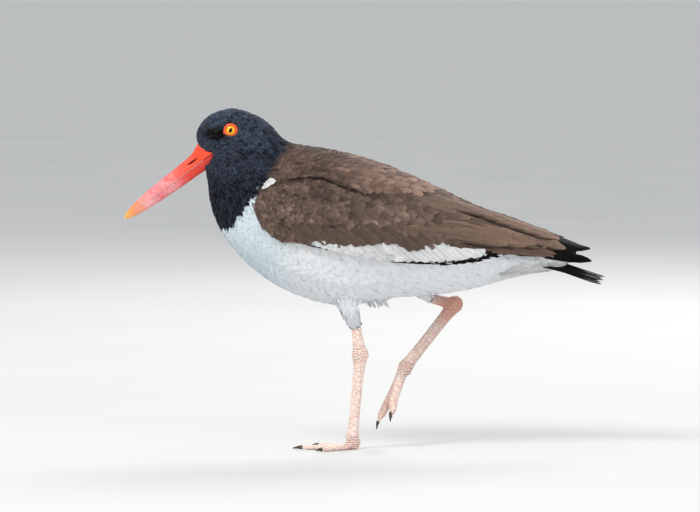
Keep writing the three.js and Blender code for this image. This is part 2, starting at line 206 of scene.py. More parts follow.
def new_mesh(name, places, quads=(), tris=()):
    """A mesh from arrays of points, four-cornered and three-cornered faces."""
    quads = np.asarray(quads, dtype=np.int32).reshape(-1, 4)
    tris = np.asarray(tris, dtype=np.int32).reshape(-1, 3)
    mesh = bpy.data.meshes.new(name)
    mesh.vertices.add(len(places))
    mesh.vertices.foreach_set("co", np.asarray(places, dtype=np.float32).ravel())
    corners = np.concatenate([quads.ravel(), tris.ravel()])
    mesh.loops.add(len(corners))
    mesh.loops.foreach_set("vertex_index", corners)
    sizes = np.concatenate([np.full(len(quads), 4), np.full(len(tris), 3)])
    mesh.polygons.add(len(sizes))
    mesh.polygons.foreach_set("loop_start", face_starts(sizes))
    mesh.update(calc_edges=True)
    mesh.polygons.foreach_set("use_smooth", np.ones(len(sizes), dtype=bool))
    return mesh


def values_of(items, name, width=1, kind=np.int32):
    """One attribute of all the items of a mesh, in rows of the given width."""
    found = np.empty(len(items) * width, dtype=kind)
    items.foreach_get(name, found)
    return found.reshape(-1, width) if width > 1 else found


def corner_vertices(mesh):
    return values_of(mesh.loops, "vertex_index")


def vertex_places(mesh):
    return values_of(mesh.vertices, "co", 3, np.float32).astype(float)


def vertex_normals(mesh):
    return values_of(mesh.vertices, "normal", 3, np.float32).astype(float)


def move_vertices(mesh, places):
    mesh.vertices.foreach_set("co", places.astype(np.float32).ravel())
    mesh.update()


def face_starts(sizes):
    """The first corner of each face, from the faces' numbers of corners."""
    return np.concatenate([[0], np.cumsum(sizes)[:-1]]).astype(np.int32)


def add_map(mesh, name, per_vertex):
    layer = mesh.uv_layers.new(name=name)
    layer.data.foreach_set("uv", per_vertex[corner_vertices(mesh)].astype(np.float32).ravel())


def add_colour(mesh, colours):
    layer = mesh.color_attributes.new("coat", "FLOAT_COLOR", "POINT")
    full = np.concatenate([colours, np.ones((len(colours), 1))], axis=1)
    layer.data.foreach_set("color", full.astype(np.float32).ravel())


def piece(name, mesh, finish, nodes=()):
    made = in_scene(name, mesh)
    mesh.materials.append(finish)
    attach(made, "root")
    if nodes:
        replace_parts(made, *nodes)
    return made


def unit(vectors):
    return vectors / np.maximum(np.linalg.norm(vectors, axis=-1, keepdims=True), 1e-9)


def smooth_step(value, low, high):
    t = np.clip((value - low) / (high - low), 0, 1)
    return t * t * (3 - 2 * t)


def blend(under, over, share):
    return under * (1 - share) + over * share


def face_out(mesh):
    shell = bmesh.new()
    shell.from_mesh(mesh)
    bmesh.ops.recalc_face_normals(shell, faces=shell.faces)
    shell.to_mesh(mesh)
    shell.free()


def lofted(name, rings, joined=False):
    """A closed mesh through rings of points, with its last ring joined to its first or both ends capped."""
    count, sides = rings.shape[:2]
    grid = np.arange(count * sides).reshape(count, sides)
    grid = np.concatenate([grid, grid[:, :1]], axis=1)
    if joined:
        grid = np.concatenate([grid, grid[:1]], axis=0)
    quads = np.stack([grid[:-1, :-1], grid[:-1, 1:], grid[1:, 1:], grid[1:, :-1]], axis=-1)
    places = rings.reshape(-1, 3)
    tris = []
    if not joined:
        places = np.concatenate([places, rings[0].mean(axis=0)[None], rings[-1].mean(axis=0)[None]])
        ends = [(grid[0], count * sides), (grid[-1], count * sides + 1)]
        tris = [np.stack([ring[1:], ring[:-1], np.full(sides, middle)], axis=1) for ring, middle in ends]
    mesh = new_mesh(name, places * MM, quads, tris)
    face_out(mesh)
    return mesh


def remeshed(nodes, voxel, grow, rounds):
    """One smooth closed mesh round several CAD nodes, from copies of their own meshes."""
    whole = bmesh.new()
    for node in nodes:
        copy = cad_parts[node].data.copy()
        part = bmesh.new()
        part.from_mesh(copy)
        bmesh.ops.remove_doubles(part, verts=part.verts, dist=1e-6)
        part.normal_update()
        for vertex in part.verts:
            vertex.co += vertex.normal * grow
        part.to_mesh(copy)
        part.free()
        whole.from_mesh(copy)
        bpy.data.meshes.remove(copy)
    mesh = bpy.data.meshes.new("remeshed")
    whole.to_mesh(mesh)
    whole.free()
    holder = in_scene("remeshed", mesh)
    remesh = holder.modifiers.new("remesh", "REMESH")
    remesh.mode = "VOXEL"
    remesh.voxel_size = voxel
    smooth = holder.modifiers.new("smooth", "SMOOTH")
    smooth.factor = 0.5
    smooth.iterations = rounds
    result = bpy.data.meshes.new_from_object(holder.evaluated_get(bpy.context.evaluated_depsgraph_get()))
    bpy.data.objects.remove(holder)
    result.polygons.foreach_set("use_smooth", np.ones(len(result.polygons), dtype=bool))
    result.update()
    return result


# Markings, with painted light and shade: one function for skin and feathers alike. The edges run from front
# to back, or upwards.

BLACK_EDGE_Z = [168, 174, 176.6, 182.5, 187.8, 197.3, 199.4, 208.9, 214.2, 220.6, 232.3, 241.7, 252]
BLACK_EDGE_X = [-128, -119, -106.8, -101.4, -97.3, -91, -87.8, -82.3, -77.1, -75, -67.6, -60.2, -49]
WING_TOP_X = [-87, -84.4, -79.6, -67.4, -48.4, -37.2, -29.4, -22, -11.4, 0, 20, 40, 56, 180]
WING_TOP_Z = [196, 206.4, 210.8, 214.6, 216.6, 217.2, 215.8, 211.6, 207.4, 204.2, 202.2, 203.2, 206.6,
              206.6]
WING_LOW_X = [-87, -85.5, -81.5, -75, -67.3, -51.5, -37.2, -12, 12, 31, 59, 78, 91, 101, 117, 130, 145,
              159, 180]
WING_LOW_Z = [194, 187, 178.6, 171.8, 167.2, 165.4, 163.2, 157.2, 151.6, 149.8, 148.4, 150.5, 153.2, 156,
              156.8, 156, 152.6, 148.2, 150]
BROWN_LOW_X = [-50, -40, -30, -10, 10, 22, 30, 34, 38, 43, 47, 51, 57, 70, 84, 95, 117, 180]
BROWN_LOW_Z = [165, 166, 162.6, 161, 162.2, 163, 163.4, 160, 156, 154, 158, 161, 163, 162.5, 160, 157.6,
               157.4, 157]
WING_FRONT_X = -87.2
FULL_BROWN = 14  # from so far over its lower edge, the brown reaches past the wing's outline
OPEN_BACK_X = 52  # from here on the wing reaches up to the back's outline
MANTLE_FRONT_X = -84
LORE_PATCH = (-118.5, 249.4, 9.5, 5.4)  # x, z, half-length and half-height
# Where a painted sheen lightens the black behind the eye
EAR_SHEEN_PATCH = (-88, 247, 16, 11)
BLACK = srgb(43, 49, 61)
LORE_BLACK = srgb(5, 5, 7)
WHITE = srgb(247, 248, 250)
BROWN = srgb(104, 86, 76)
MANTLE_BROWN = srgb(120, 97, 85)
QUILL_BLACK = srgb(16, 14, 13)
# Painted shade: how much of each colour is lost on the white, low on the belly, on the breast, and under the
# tail
PAINTED_BELLY_SHADE = np.array([0.06, 0.035, 0.01])
PAINTED_BREAST_SHADE = np.array([0.17, 0.05, 0.0])
PAINTED_TAIL_SHADE = np.array([0.24, 0.26, 0.3])


def noise_at(places, size, seed):
    """Smooth random value from about -1 to 1 at places in space, with lumps of about the given size."""
    spread = np.random.default_rng(seed)
    total = np.zeros(len(places))
    for _ in range(9):
        wave = unit(spread.normal(size=3)) * (2 * math.pi / size) * spread.uniform(0.5, 1.3)
        total += np.sin(places @ wave + spread.uniform(0, 2 * math.pi))
    return total / 4.2


def wing_top(x):
    return np.interp(x, WING_TOP_X, WING_TOP_Z)


def wing_low(x):
    return np.interp(x, WING_LOW_X, WING_LOW_Z)


def brown_low(x):
    return np.interp(x, BROWN_LOW_X, BROWN_LOW_Z)


def on_wing(p):
    """How far inside the folded wing's outline each place lies, in millimetres. Negative is outside."""
    x, z = p[:, 0], p[:, 2]
    top = wing_top(x) + np.where(x > OPEN_BACK_X, 60, 0)
    return np.minimum(np.minimum(top - z, z - wing_low(x)), (x - WING_FRONT_X) * 1.2)


def behind_black(p):
    """How far behind the black's ragged edge each place lies, in millimetres."""
    ragged = 1.6 * noise_at(p, 7, 1) + 1.1 * noise_at(p, 3, 2)
    return p[:, 0] - np.interp(p[:, 2], BLACK_EDGE_Z, BLACK_EDGE_X) + ragged


def on_mantle(p):
    """Above zero on the brown back between the wings."""
    x, z = p[:, 0], p[:, 2]
    return np.minimum(np.where(x > 56, z - wing_low(x) - 6.0, z - wing_top(x)), 5.0)


def from_patch(x, z, patch):
    """Distance from an oval patch's middle, 1 at its outline."""
    middle_x, middle_z, half_length, half_height = patch
    return np.hypot((x - middle_x) / half_length, (z - middle_z) / half_height)


def black_of(p):
    """The head's black: a painted highlight makes it glossy grey on the crown, a painted sheen makes it grey
    behind the eye, painted shade makes it deeper low down, and it is deeper before the eye.
    """
    x, z = p[:, 0], p[:, 2]
    # painted sheen behind the eye, painted light on the crown, and painted shade low down
    ear = 0.5 * smooth_step(-from_patch(x, z, EAR_SHEEN_PATCH), -1.2, -0.4)[:, None]
    crown = 0.8 * smooth_step(z, 252, 268)[:, None]
    low = 0.5 * smooth_step(-z, -228, -208)[:, None]
    dark = BLACK * (1 + crown + ear - low) * (1 + 0.16 * noise_at(p, 8, 6))[:, None]
    lore = smooth_step(-from_patch(x, z, LORE_PATCH), -1.3, -0.6)[:, None]
    return blend(dark, LORE_BLACK, lore)


def markings_and_painted_light(p):
    """Colour of the plumage at places p in millimetres, with painted shade low on the belly, on the breast,
    under the tail and in the wing's upper fold, and painted light and shade on the head's black.
    """
    x, z = p[:, 0], p[:, 2]
    # painted shade: the white is darker and bluer low on the belly and on the breast
    belly = smooth_step(z, 175, 120)[:, None]
    breast = smooth_step(-x, 50, 85)[:, None]
    colour = WHITE * (1 - belly * PAINTED_BELLY_SHADE) * (1 - breast * PAINTED_BREAST_SHADE)
    tone = 1 + 0.18 * noise_at(p, 24, 3) + 0.2 * noise_at(p, 9, 4)
    back = (on_mantle(p) > -3.5)[:, None] * (x > MANTLE_FRONT_X)[:, None] * 1.0
    back_brown = MANTLE_BROWN * (tone * (0.52 + 0.84 * smooth_step(x, -45, 45)))[:, None]
    colour = blend(colour, back_brown, back)
    inside = on_wing(p)
    over_brown = z - (brown_low(x) + 0.9 * noise_at(p, 5, 5))
    in_brown = np.where(over_brown > FULL_BROWN, inside + 1.5, np.minimum(inside, over_brown))
    wing_brown = BROWN * (tone * (1 - 0.16 * smooth_step(z, 185, 205)))[:, None]
    wing = smooth_step(in_brown, -0.8, 0.8)[:, None]
    colour = blend(colour, wing_brown, wing)
    # painted shadow: a dark band along the crease of the wing's upper fold
    fold = np.abs(z - wing_top(x) + 0.6)
    shade = 0.6 * smooth_step(-fold, -2.4, 0) * smooth_step(-x, -30, 0) * (x > -86)
    colour = colour * (1 - shade[:, None])
    tip = np.maximum(smooth_step(x, 143, 147)[:, None] * wing, smooth_step(x, 158, 162)[:, None] * back)
    colour = blend(colour, QUILL_BLACK, tip)
    # painted shade under the tail
    under_tail_shade = smooth_step(x, 80, 130) * smooth_step(-z, -152, -143)
    colour = colour * (1 - under_tail_shade[:, None] * PAINTED_TAIL_SHADE)
    softness = np.where((z > 208) & (on_mantle(p) > -3), 5.0, 0.9)
    black = smooth_step(-behind_black(p) / softness, -1, 1)[:, None]
    return np.clip(blend(colour, black_of(p), black), 0.002, 0.95)


# Bare places

EYE_CENTRE = np.array([-105.8, 10.7, 252.9])
EYE_RING = 5.8  # outer radius of the bare ring, seen from the side
EYE_CLEAR = 5.2  # no feather's tip comes closer to the eye's middle than this
BILL_ROOT = np.array([-128.1, 0.0, 230.3])
BILL_DIP = math.radians(36.8)
BILL_ALONG = np.array([-math.cos(BILL_DIP), 0, -math.sin(BILL_DIP)])
BILL_UP = np.array([-math.sin(BILL_DIP), 0, math.cos(BILL_DIP)])
BILL_LENGTH = 77.6
BILL_BURIED = 11.0  # how far the bill goes on inside the head
# How far along the bill from its root, height above its axis, depth below it, and half-width
BILL_STATIONS = np.array([
    (-BILL_BURIED, 2.2, 3.6, 11.0), (-8, 5.4, 5.6, 10.4), (-6, 9.5, 6.8, 9.7), (-4, 12.0, 7.8, 8.8),
    (0, 10.4, 9.0, 7.3), (3, 8.8, 8.8, 6.4), (6, 8.0, 8.6, 5.8), (14, 7.1, 8.3, 4.8), (26, 6.8, 8.0, 4.3),
    (38, 6.4, 7.4, 3.7), (50, 5.9, 6.8, 3.1), (61, 4.9, 5.7, 2.5), (70, 3.3, 4.2, 1.9),
    (75.4, 1.6, 2.9, 1.4), (BILL_LENGTH, 0.2, 1.6, 0.8),
])
ABOVE, BELOW, HALF_WIDTH = 1, 2, 3  # columns of that table
# Where the feathers end round the bill's base: how far along the bill, at heights over its axis
EDGE_UP = [-9.2, -8.6, -5.7, -3.1, 0.2, 2.9, 6, 9.3, 12.2]
EDGE_ALONG = [4.8, -0.1, -3.2, -9.0, -9.5, -5.9, -5.5, -4.5, -2.8]
BILL_TOP, BILL_UNDER = 12.4, -9.4
FACE_X = -117  # the bill's bare base lies in front of this
HEAD_BACK_X = -95  # and the eyes' rings in front of this


def from_eye(p):
    return np.hypot(p[:, 0] - EYE_CENTRE[0], p[:, 2] - EYE_CENTRE[2])


def bill_at(along, column):
    return np.interp(along, BILL_STATIONS[:, 0], BILL_STATIONS[:, column])


def bare(p):
    """Places with no feathers: the rings of the eyes and where the bill comes out."""
    along = (p - BILL_ROOT) @ BILL_ALONG
    up = (p - BILL_ROOT) @ BILL_UP
    on_bill = (along > np.interp(up, EDGE_UP, EDGE_ALONG)) & (up < BILL_TOP) & (up > BILL_UNDER)
    on_ring = (from_eye(p) < EYE_RING - 0.5) & (p[:, 0] < HEAD_BACK_X)
    return on_ring | on_bill & (p[:, 0] < FACE_X)


# The skin under the feathers

FLESH = ["head", "neck", "trunk", "tail_coverts", "mantle", "thigh_left", "thigh_right", "wing_left",
         "wing_right", "wing_tip_left", "wing_tip_right"]
SKIN_VOXEL = 1.4 * MM
SKIN_GROWTH = 0.45 * MM  # closes the gaps between the solids before they are joined
SKIN_ROUNDS = 5  # of smoothing
SKIN_TONE = 0.8  # how dark the skin is under its feathers
UNWRAP_TURN = 0.9  # share of the map's width that one turn round the spine takes


def coat_depth(p):
    """How far the skin lies inside the plumage's outline, in millimetres."""
    x, y, z = p.T
    depth = 0.65 + 0.95 * smooth_step(x, -100, -50)
    depth *= 1 - 0.45 * smooth_step(x, 120, 170)
    left_end = smooth_step(-z, -116, -104) * (y < 0)
    right_end = smooth_step(x, 34, 46) * smooth_step(-z, -127, -121) * (y > 6) * (x < 62)
    depth *= 1 - 0.8 * np.maximum(left_end, right_end)
    return depth


SPINE_X = [-130, -112, -95, -70, -30, 20, 70, 120, 185]
SPINE_Z = [232, 236, 228, 196, 178, 171, 166, 160, 152]


def skin_unwrap(p):
    """The skin's own unwrap: the turn round the spine, and how far along it."""
    turn = np.arctan2(p[:, 1], p[:, 2] - np.interp(p[:, 0], SPINE_X, SPINE_Z))
    along = (p[:, 0] + 0.55 * (205 - p[:, 2]) * (p[:, 0] < 0) * 0.3 + 175) / 400
    return np.stack([0.5 + turn / (2 * math.pi) * UNWRAP_TURN, 0.03 + 0.9 * np.clip(along, 0, 1)], axis=1)


def make_skin(finish):
    mesh = remeshed(FLESH, SKIN_VOXEL, SKIN_GROWTH, SKIN_ROUNDS)
    places = vertex_places(mesh)
    places -= vertex_normals(mesh) * (coat_depth(places / MM)[:, None] * MM + SKIN_GROWTH)
    p = places / MM
    under_bill = bare(p) & (from_eye(p) > 10)
    reach = (bill_at((p[under_bill] - BILL_ROOT) @ BILL_ALONG, HALF_WIDTH) - 1.0) * MM
    places[under_bill, 1] = np.clip(places[under_bill, 1], -reach, reach)
    move_vertices(mesh, places)
    add_colour(mesh, markings_and_painted_light(places / MM) * SKIN_TONE)
    unwrap_closed(mesh, skin_unwrap(places / MM))
    return piece("skin", mesh, finish, FLESH)


def unwrap_closed(mesh, per_vertex):
    """The unwrap as OFBake, with the faces on the seam under the belly kept whole."""
    uv = per_vertex[corner_vertices(mesh)]
    sizes = values_of(mesh.polygons, "loop_total")
    starts = face_starts(sizes)
    highest = np.repeat(np.maximum.reduceat(uv[:, 0], starts), sizes)
    lowest = np.repeat(np.minimum.reduceat(uv[:, 0], starts), sizes)
    crossing = (highest - lowest > 0.5) & (uv[:, 0] < 0.5)
    uv[crossing, 0] += UNWRAP_TURN
    layer = mesh.uv_layers.new(name="OFBake")
    layer.data.foreach_set("uv", uv.astype(np.float32).ravel())


class Surface:
    """The skin as a thing that feathers are rooted in and follow."""

    def __init__(self, skin):
        mesh = skin.data
        mesh.calc_loop_triangles()
        self.places = vertex_places(mesh)
        self.normals = unit(vertex_normals(mesh))
        self.tris = values_of(mesh.loop_triangles, "vertices", 3)
        self.tree = BVHTree.FromPolygons(self.places.tolist(), self.tris.tolist())

    def scatter(self, spacing_of, random):
        """Blue-noise places on the skin, closer together where spacing_of says so."""
        a, b, c = (self.places[self.tris[:, k]] for k in range(3))
        area = np.linalg.norm(np.cross(b - a, c - a), axis=1) / 2 / MM**2
        spacing = spacing_of((a + b + c) / 3 / MM)
        weight = np.where(np.isfinite(spacing), area / spacing**2, 0)
        count = int(weight.sum() * 3.6)
        chosen = random.choice(len(weight), count, p=weight / weight.sum())
        r = np.sqrt(random.random(count))[:, None]
        s = random.random(count)[:, None]
        weights = [1 - r, r * (1 - s), r * s]
        corners = self.tris[chosen]
        places = sum(w * self.places[corners[:, k]] for k, w in enumerate(weights))
        normals = unit(sum(w * self.normals[corners[:, k]] for k, w in enumerate(weights)))
        gap = spacing_of(places / MM) * MM
        tree = KDTree(count)
        for i, place in enumerate(places):
            tree.insert(place, i)
        tree.balance()
        free = np.isfinite(gap)
        kept = []
        for i in range(count):
            if not free[i]:
                continue
            kept.append(i)
            for _, j, _ in tree.find_range(places[i], gap[i] * 0.82):
                free[j] = False
        return places[kept], normals[kept]

    def follow(self, places):
        """The nearest skin to each place, with its normal."""
        hits, normals = np.empty_like(places), np.empty_like(places)
        for i, place in enumerate(places.tolist()):
            hits[i], _, face, _ = self.tree.find_nearest(place)
            normals[i] = self.normals[self.tris[face]].sum(axis=0)
        return hits, unit(normals)

    def from_side(self, x, z, side):
        """The skin and its normal as seen from the left (-1) or right (1), or None past its outline."""
        place, normal, _, _ = self.tree.ray_cast((x * MM, side * 0.2, z * MM), (0, -side, 0))
        return place, normal


# The lie of the coat: directions [x, z, dx, dz] seen from the side, blended between

LIE = np.array([
    (-131, 250, 0.45, 0.9), (-122, 262, 0.85, 0.5), (-105, 270, 1, 0.05), (-88, 266, 0.9, -0.4),
    (-72, 255, 0.75, -0.65), (-58, 243, 0.85, -0.5), (-116, 246, 1, 0.1), (-100, 250, 1, -0.1),
    (-105, 232, 0.95, -0.3), (-120, 215, 0.4, -0.9), (-122, 195, 0.2, -1), (-90, 228, 0.8, -0.6),
    (-95, 205, 0.5, -0.85), (-115, 178, 0.4, -0.9), (-75, 225, 0.8, -0.6), (-95, 178, 0.6, -0.8),
    (-100, 158, 0.6, -0.75), (-78, 140, 0.8, -0.5), (-70, 170, 0.85, -0.4), (-66, 205, 0.95, -0.3),
    (-45, 122, 0.95, -0.2), (-40, 170, 0.97, -0.18), (-40, 236, 0.97, -0.25), (-30, 205, 0.97, -0.2),
    (10, 114, 1, 0.02), (10, 155, 1, -0.08), (10, 190, 1, -0.14), (10, 226, 0.93, -0.36),
    (60, 121, 1, 0.1), (60, 155, 1, -0.05), (60, 190, 0.95, -0.3), (110, 134, 0.97, 0.24),
    (110, 160, 1, -0.1), (110, 185, 0.93, -0.35), (160, 145, 0.98, 0.15), (160, 162, 0.95, -0.3),
    (-8, 100, 0.28, -0.96), (30, 114, 0.94, -0.28), (50, 116, 0.94, -0.3),
])
LIE_REACH = 15.0  # how far one direction holds, in millimetres


def lie_at(p, normals, random, stray):
    gap = (p[:, None, 0] - LIE[None, :, 0]) ** 2 + (p[:, None, 2] - LIE[None, :, 1]) ** 2
    gap -= gap.min(axis=1, keepdims=True)
    weight = np.exp(-gap / (2 * LIE_REACH**2))
    flat = weight @ LIE[:, 2:] / weight.sum(axis=1, keepdims=True)
    along = np.stack([flat[:, 0], np.zeros(len(p)), flat[:, 1]], axis=1)
    along -= normals * (along * normals).sum(axis=1, keepdims=True)
    across = np.cross(normals, unit(along))
    turn = random.normal(0, stray, len(p))[:, None]
    return unit(unit(along) * np.cos(turn) + across * np.sin(turn))


# Feathers

# A small feather's rows from root to tip: where each lies, its width, and how far it stands off the skin
SMALL_ROWS = np.array([0.0, 0.38, 0.74, 1.0])
SMALL_WIDTH = np.array([0.45, 0.95, 1.0, 0.62])
SMALL_RISE = np.array([-0.25, 0.35, 0.8, 1.0])
SMALL_COLUMNS = 5
SMALL_CAMBER = 0.28
SMALL_THICKNESS = 0.25
DARKEST, PALEST = 0.001, 0.96  # limits of a feather's colour
STRIPS = 40  # each vane lies on one of so many strips of its map


def vane_faces(rows, columns):
    """Faces of one closed vane: its top as a grid, and its underside as a fan."""
    grid = np.arange(rows * columns).reshape(rows, columns)
    quads = np.stack([grid[:-1, :-1], grid[1:, :-1], grid[1:, 1:], grid[:-1, 1:]], axis=-1).reshape(-1, 4)
    rim = np.concatenate([grid[0, :], grid[1:, -1], grid[-1, -2::-1], grid[-2:0:-1, 0]])
    fan = np.stack([rim, np.roll(rim, -1), np.full(len(rim), rows * columns)], axis=1)
    return quads, fan


def vane_mesh(name, middle, across, normal, half, profile, lift, camber, fray, thick, colours, roots, random,
              calm, barbs=1.0):
    """Many vanes as one mesh. middle, across and normal are [feather, row, xyz], half is each feather's
    half-width, profile and lift hold a value for each row, and fray is how far each column of the tip is
    drawn back, as [feather, column]. roots are the feathers' places on the baked image, and barbs is how
    many times the barb pattern fits into a feather's length."""
    count, rows = middle.shape[:2]
    columns = fray.shape[1]
    u = np.linspace(-1, 1, columns)
    width = (half[:, None] * profile[None, :])[:, :, None, None]
    places = middle[:, :, None, :] + across[:, :, None, :] * u[None, None, :, None] * width
    drop = lift[:, :, None] - camber * half[:, None, None] * (u**2)[None, None, :]
    places = places + normal[:, :, None, :] * drop[..., None]
    backwards = unit(middle[:, -2] - middle[:, -1])[:, None, :]
    places[:, -1] += backwards * fray[..., None]
    places[:, -2] += backwards * fray[..., None] * 0.35
    under = middle[:, rows // 2] + normal[:, rows // 2] * (lift[:, rows // 2, None] - thick)
    places = np.concatenate([places.reshape(count, -1, 3), under[:, None, :]], axis=1)
    quads, fan = vane_faces(rows, columns)
    start = (np.arange(count) * (rows * columns + 1))[:, None, None]
    mesh = new_mesh(name, places.reshape(-1, 3), (quads[None] + start), (fan[None] + start))
    along = np.repeat(np.linspace(0, 1, rows), columns)
    vane = np.stack([np.tile(u * 0.5 + 0.5, rows), along], axis=1)
    vane = np.tile(np.concatenate([vane, [[0.5, 0.5]]])[None], (count, 1, 1))
    vane[..., 0] += random.integers(0, STRIPS, count)[:, None]
    vane[..., 1] *= barbs
    patch = np.concatenate([np.stack([np.tile(u * 0.5, rows), along - 0.5], axis=1), [[0, 0]]]) * PATCH
    add_map(mesh, "OFBake", (roots[:, None, :] + patch[None]).reshape(-1, 2))
    add_map(mesh, "vane", vane.reshape(-1, 2))
    under_colour = colours[:, rows // 2, columns // 2][:, None]
    add_colour(mesh, np.concatenate([colours.reshape(count, -1, 3), under_colour], axis=1).reshape(-1, 3))
    soften(mesh, normal, columns, calm)
    return mesh


def soften(mesh, normal, columns, calm):
    """Shades a mesh of vanes as one coat. calm is how much the shading follows the body, which normal gives
    as [feather, row, xyz], rather than each vane. The rims stay sharp, and no normal leaves its face."""
    count, rows = normal.shape[:2]
    own = vertex_normals(mesh).reshape(count, -1, 3)[:, :-1].reshape(count, rows, columns, 3)
    soft = unit(own * (1 - calm) + normal[:, :, None, :] * calm).reshape(count, -1, 3)
    soft = np.concatenate([soft, normal[:, rows // 2][:, None]], axis=1).reshape(-1, 3)
    soft = soft[corner_vertices(mesh)]
    rim = np.ones((rows, columns), dtype=bool)
    rim[1:-1, 1:-1] = False
    rim = np.append(rim.ravel(), False)
    on_rim = rim[values_of(mesh.edges, "vertices", 2) % len(rim)].all(axis=1)
    mesh.edges.foreach_set("use_edge_sharp", on_rim)
    sizes = values_of(mesh.polygons, "loop_total")
    facing = np.repeat(values_of(mesh.polygons, "normal", 3, np.float32).astype(float), sizes, axis=0)
    turned = np.add.reduceat((soft * facing).sum(axis=1), face_starts(sizes)) < 0
    soft[np.repeat(turned, sizes)] *= -1
    agree = (soft * facing).sum(axis=1)
    soft = np.where((agree < 0.3)[:, None], unit(soft + facing * (0.5 - agree)[:, None]), soft)
    mesh.normals_split_custom_set(soft.tolist())


def grown_paths(surface, roots, normals, along, length):
    """Each small feather's line over the skin, and the skin's normals along it."""
    middle = np.empty((len(roots), len(SMALL_ROWS), 3))
    normal = np.empty_like(middle)
    middle[:, 0], normal[:, 0] = roots, normals
    for row in range(1, len(SMALL_ROWS)):
        step = (SMALL_ROWS[row] - SMALL_ROWS[row - 1]) * length[:, None] * MM
        ahead = along - normal[:, row - 1] * (along * normal[:, row - 1]).sum(axis=1, keepdims=True)
        middle[:, row], normal[:, row] = surface.follow(middle[:, row - 1] + unit(ahead) * step)
        normal[:, row] = unit(normal[:, row] + normal[:, row - 1])
    return middle, normal


def plume_tract(name, surface, finish, spacing_of, shape_of, random, stray, mottle, calm):
    """A tract of small feathers all over the skin wherever spacing_of is finite."""
    roots, normals = surface.scatter(spacing_of, random)
    p = roots / MM
    length, half, rise, fringe = shape_of(p)
    along = lie_at(p, normals, random, stray)
    length = length * random.uniform(0.85, 1.15, len(p))
    middle, normal = grown_paths(surface, roots, normals, along, length)
    whole = (normal[:, 1:] * normal[:, :1]).sum(axis=2).min(axis=1) > 0.25
    whole &= np.linalg.norm(middle[:, -1] - roots, axis=1) > 0.6 * length * MM
    whole &= from_eye(middle[:, -1] / MM) > EYE_CLEAR
    kept = (part[whole] for part in (roots, normal, middle, p, length, half, rise, fringe))
    roots, normal, middle, p, length, half, rise, fringe = kept
    tangents = unit(np.gradient(middle, axis=1))
    across = unit(np.cross(normal, tangents))
    lift = (SMALL_RISE[None, :] * rise[:, None]) * MM * random.uniform(0.75, 1.25, len(p))[:, None]
    u = np.linspace(-1, 1, SMALL_COLUMNS)
    ragged = random.uniform(0, 0.11, (len(p), SMALL_COLUMNS))
    fray = 0.23 * u**2 * length[:, None] + ragged * length[:, None]
    base = markings_and_painted_light((roots + tangents[:, 1] * length[:, None] * 0.35 * MM) / MM)
    dark = smooth_step(-base.mean(axis=1), -0.45, -0.25)
    tone = np.clip(1 + random.normal(0, mottle, len(p)) * (0.06 + 0.94 * dark), 0.4, 1.8)
    rows = SMALL_ROWS[None, :, None, None]
    edge = np.maximum(np.abs(u)[None, None, :, None] ** 3 * 0.6, rows**4)
    tone, deep, fringe = (part[:, None, None, None] for part in (tone, 0.08 + 0.14 * dark, fringe * dark))
    colours = base[:, None, None, :] * tone * (1 - deep * (1 - rows)) * (1 + fringe * edge)
    mesh = vane_mesh(name, middle, across, normal, half * MM, SMALL_WIDTH, lift, SMALL_CAMBER, fray * MM,
                     SMALL_THICKNESS * MM, np.clip(colours, DARKEST, PALEST), skin_unwrap(p), random, calm)
    piece(name, mesh, finish)


def plume_finish(name, barb_share, roughness, sheen, gloss):
    """Feather finish: the coat's own colour, fine slanting barbs either side of a shaft."""
    f = Finish(name)
    u, v, _ = f.split(f.on_map("vane"))
    side = f.maths("ABSOLUTE", f.maths("SUBTRACT", f.maths("FRACT", u), 0.5))
    slant = f.maths("SUBTRACT", f.times(v, 26.0), f.times(side, 20.0))
    wander = f.noise(f.place(), 900.0)
    barbs = f.maths("SINE", f.maths("MULTIPLY_ADD", wander, 4.0, f.times(slant, 6.28)))
    soft = f.noise(f.place(), 260.0, 3.0)
    both = f.maths("MULTIPLY_ADD", barbs, 0.22, soft)
    tone = f.ramp(both, (0.15, 1 - barb_share), (0.85, 1 + barb_share))
    f.set(Base_Color=f.shaded(f.coat(), tone), Roughness=roughness,
          Normal=f.bump(barbs, 0.00006, f.bump(soft, 0.0003)),
          Sheen_Weight=sheen, Sheen_Roughness=0.5, Specular_IOR_Level=gloss)
    return f.material


def skin_finish():
    f = Finish("skin")
    down = f.noise(f.place(), 700.0, 4.0, 0.7)
    colour = f.shaded(f.coat(), f.ramp(down, (0.3, 0.72), (0.7, 1.0)))
    f.set(Base_Color=colour, Roughness=0.85, Normal=f.bump(down, 0.0006))
    return f.material


BLACK_ZONE, WHITE_ZONE, MANTLE_ZONE, WING_ZONE = range(4)
QUILLS_X = 143  # behind this the wing holds long feathers only
STRIPE_X = -46  # and behind this its lower edge does


def zones(p):
    """Which tract each place belongs to."""
    zone = np.where(on_wing(p) > 0, WING_ZONE, np.where(on_mantle(p) > -1.2, MANTLE_ZONE, WHITE_ZONE))
    return np.where(behind_black(p) < 0, BLACK_ZONE, zone)


# Each tract's feathers at places p: length, half-width, rise off the skin, and how much paler the rim is


def head_plumes(p):
    back = smooth_step(p[:, 0] - 0.25 * (230 - p[:, 2]), -132, -70)
    low = smooth_step(p[:, 2], 232, 185)
    grown = np.maximum(back, low)
    near_eye = smooth_step(from_eye(p), 12, 6) * (p[:, 2] > 235)
    length = 3.2 + 3.6 * grown - 1.0 * near_eye
    return length, length * 0.26, 0.4 + 0.3 * grown, 2.4 - 1.0 * grown


def white_plumes(p):
    grown = smooth_step(p[:, 0], -110, -30)
    thigh = smooth_step(-p[:, 2], -118, -108)
    length = (7.5 + 6.0 * grown) * (1 - 0.5 * thigh)
    return length, length * 0.32, 0.55 + 0.35 * grown, np.full(len(p), 0.02)


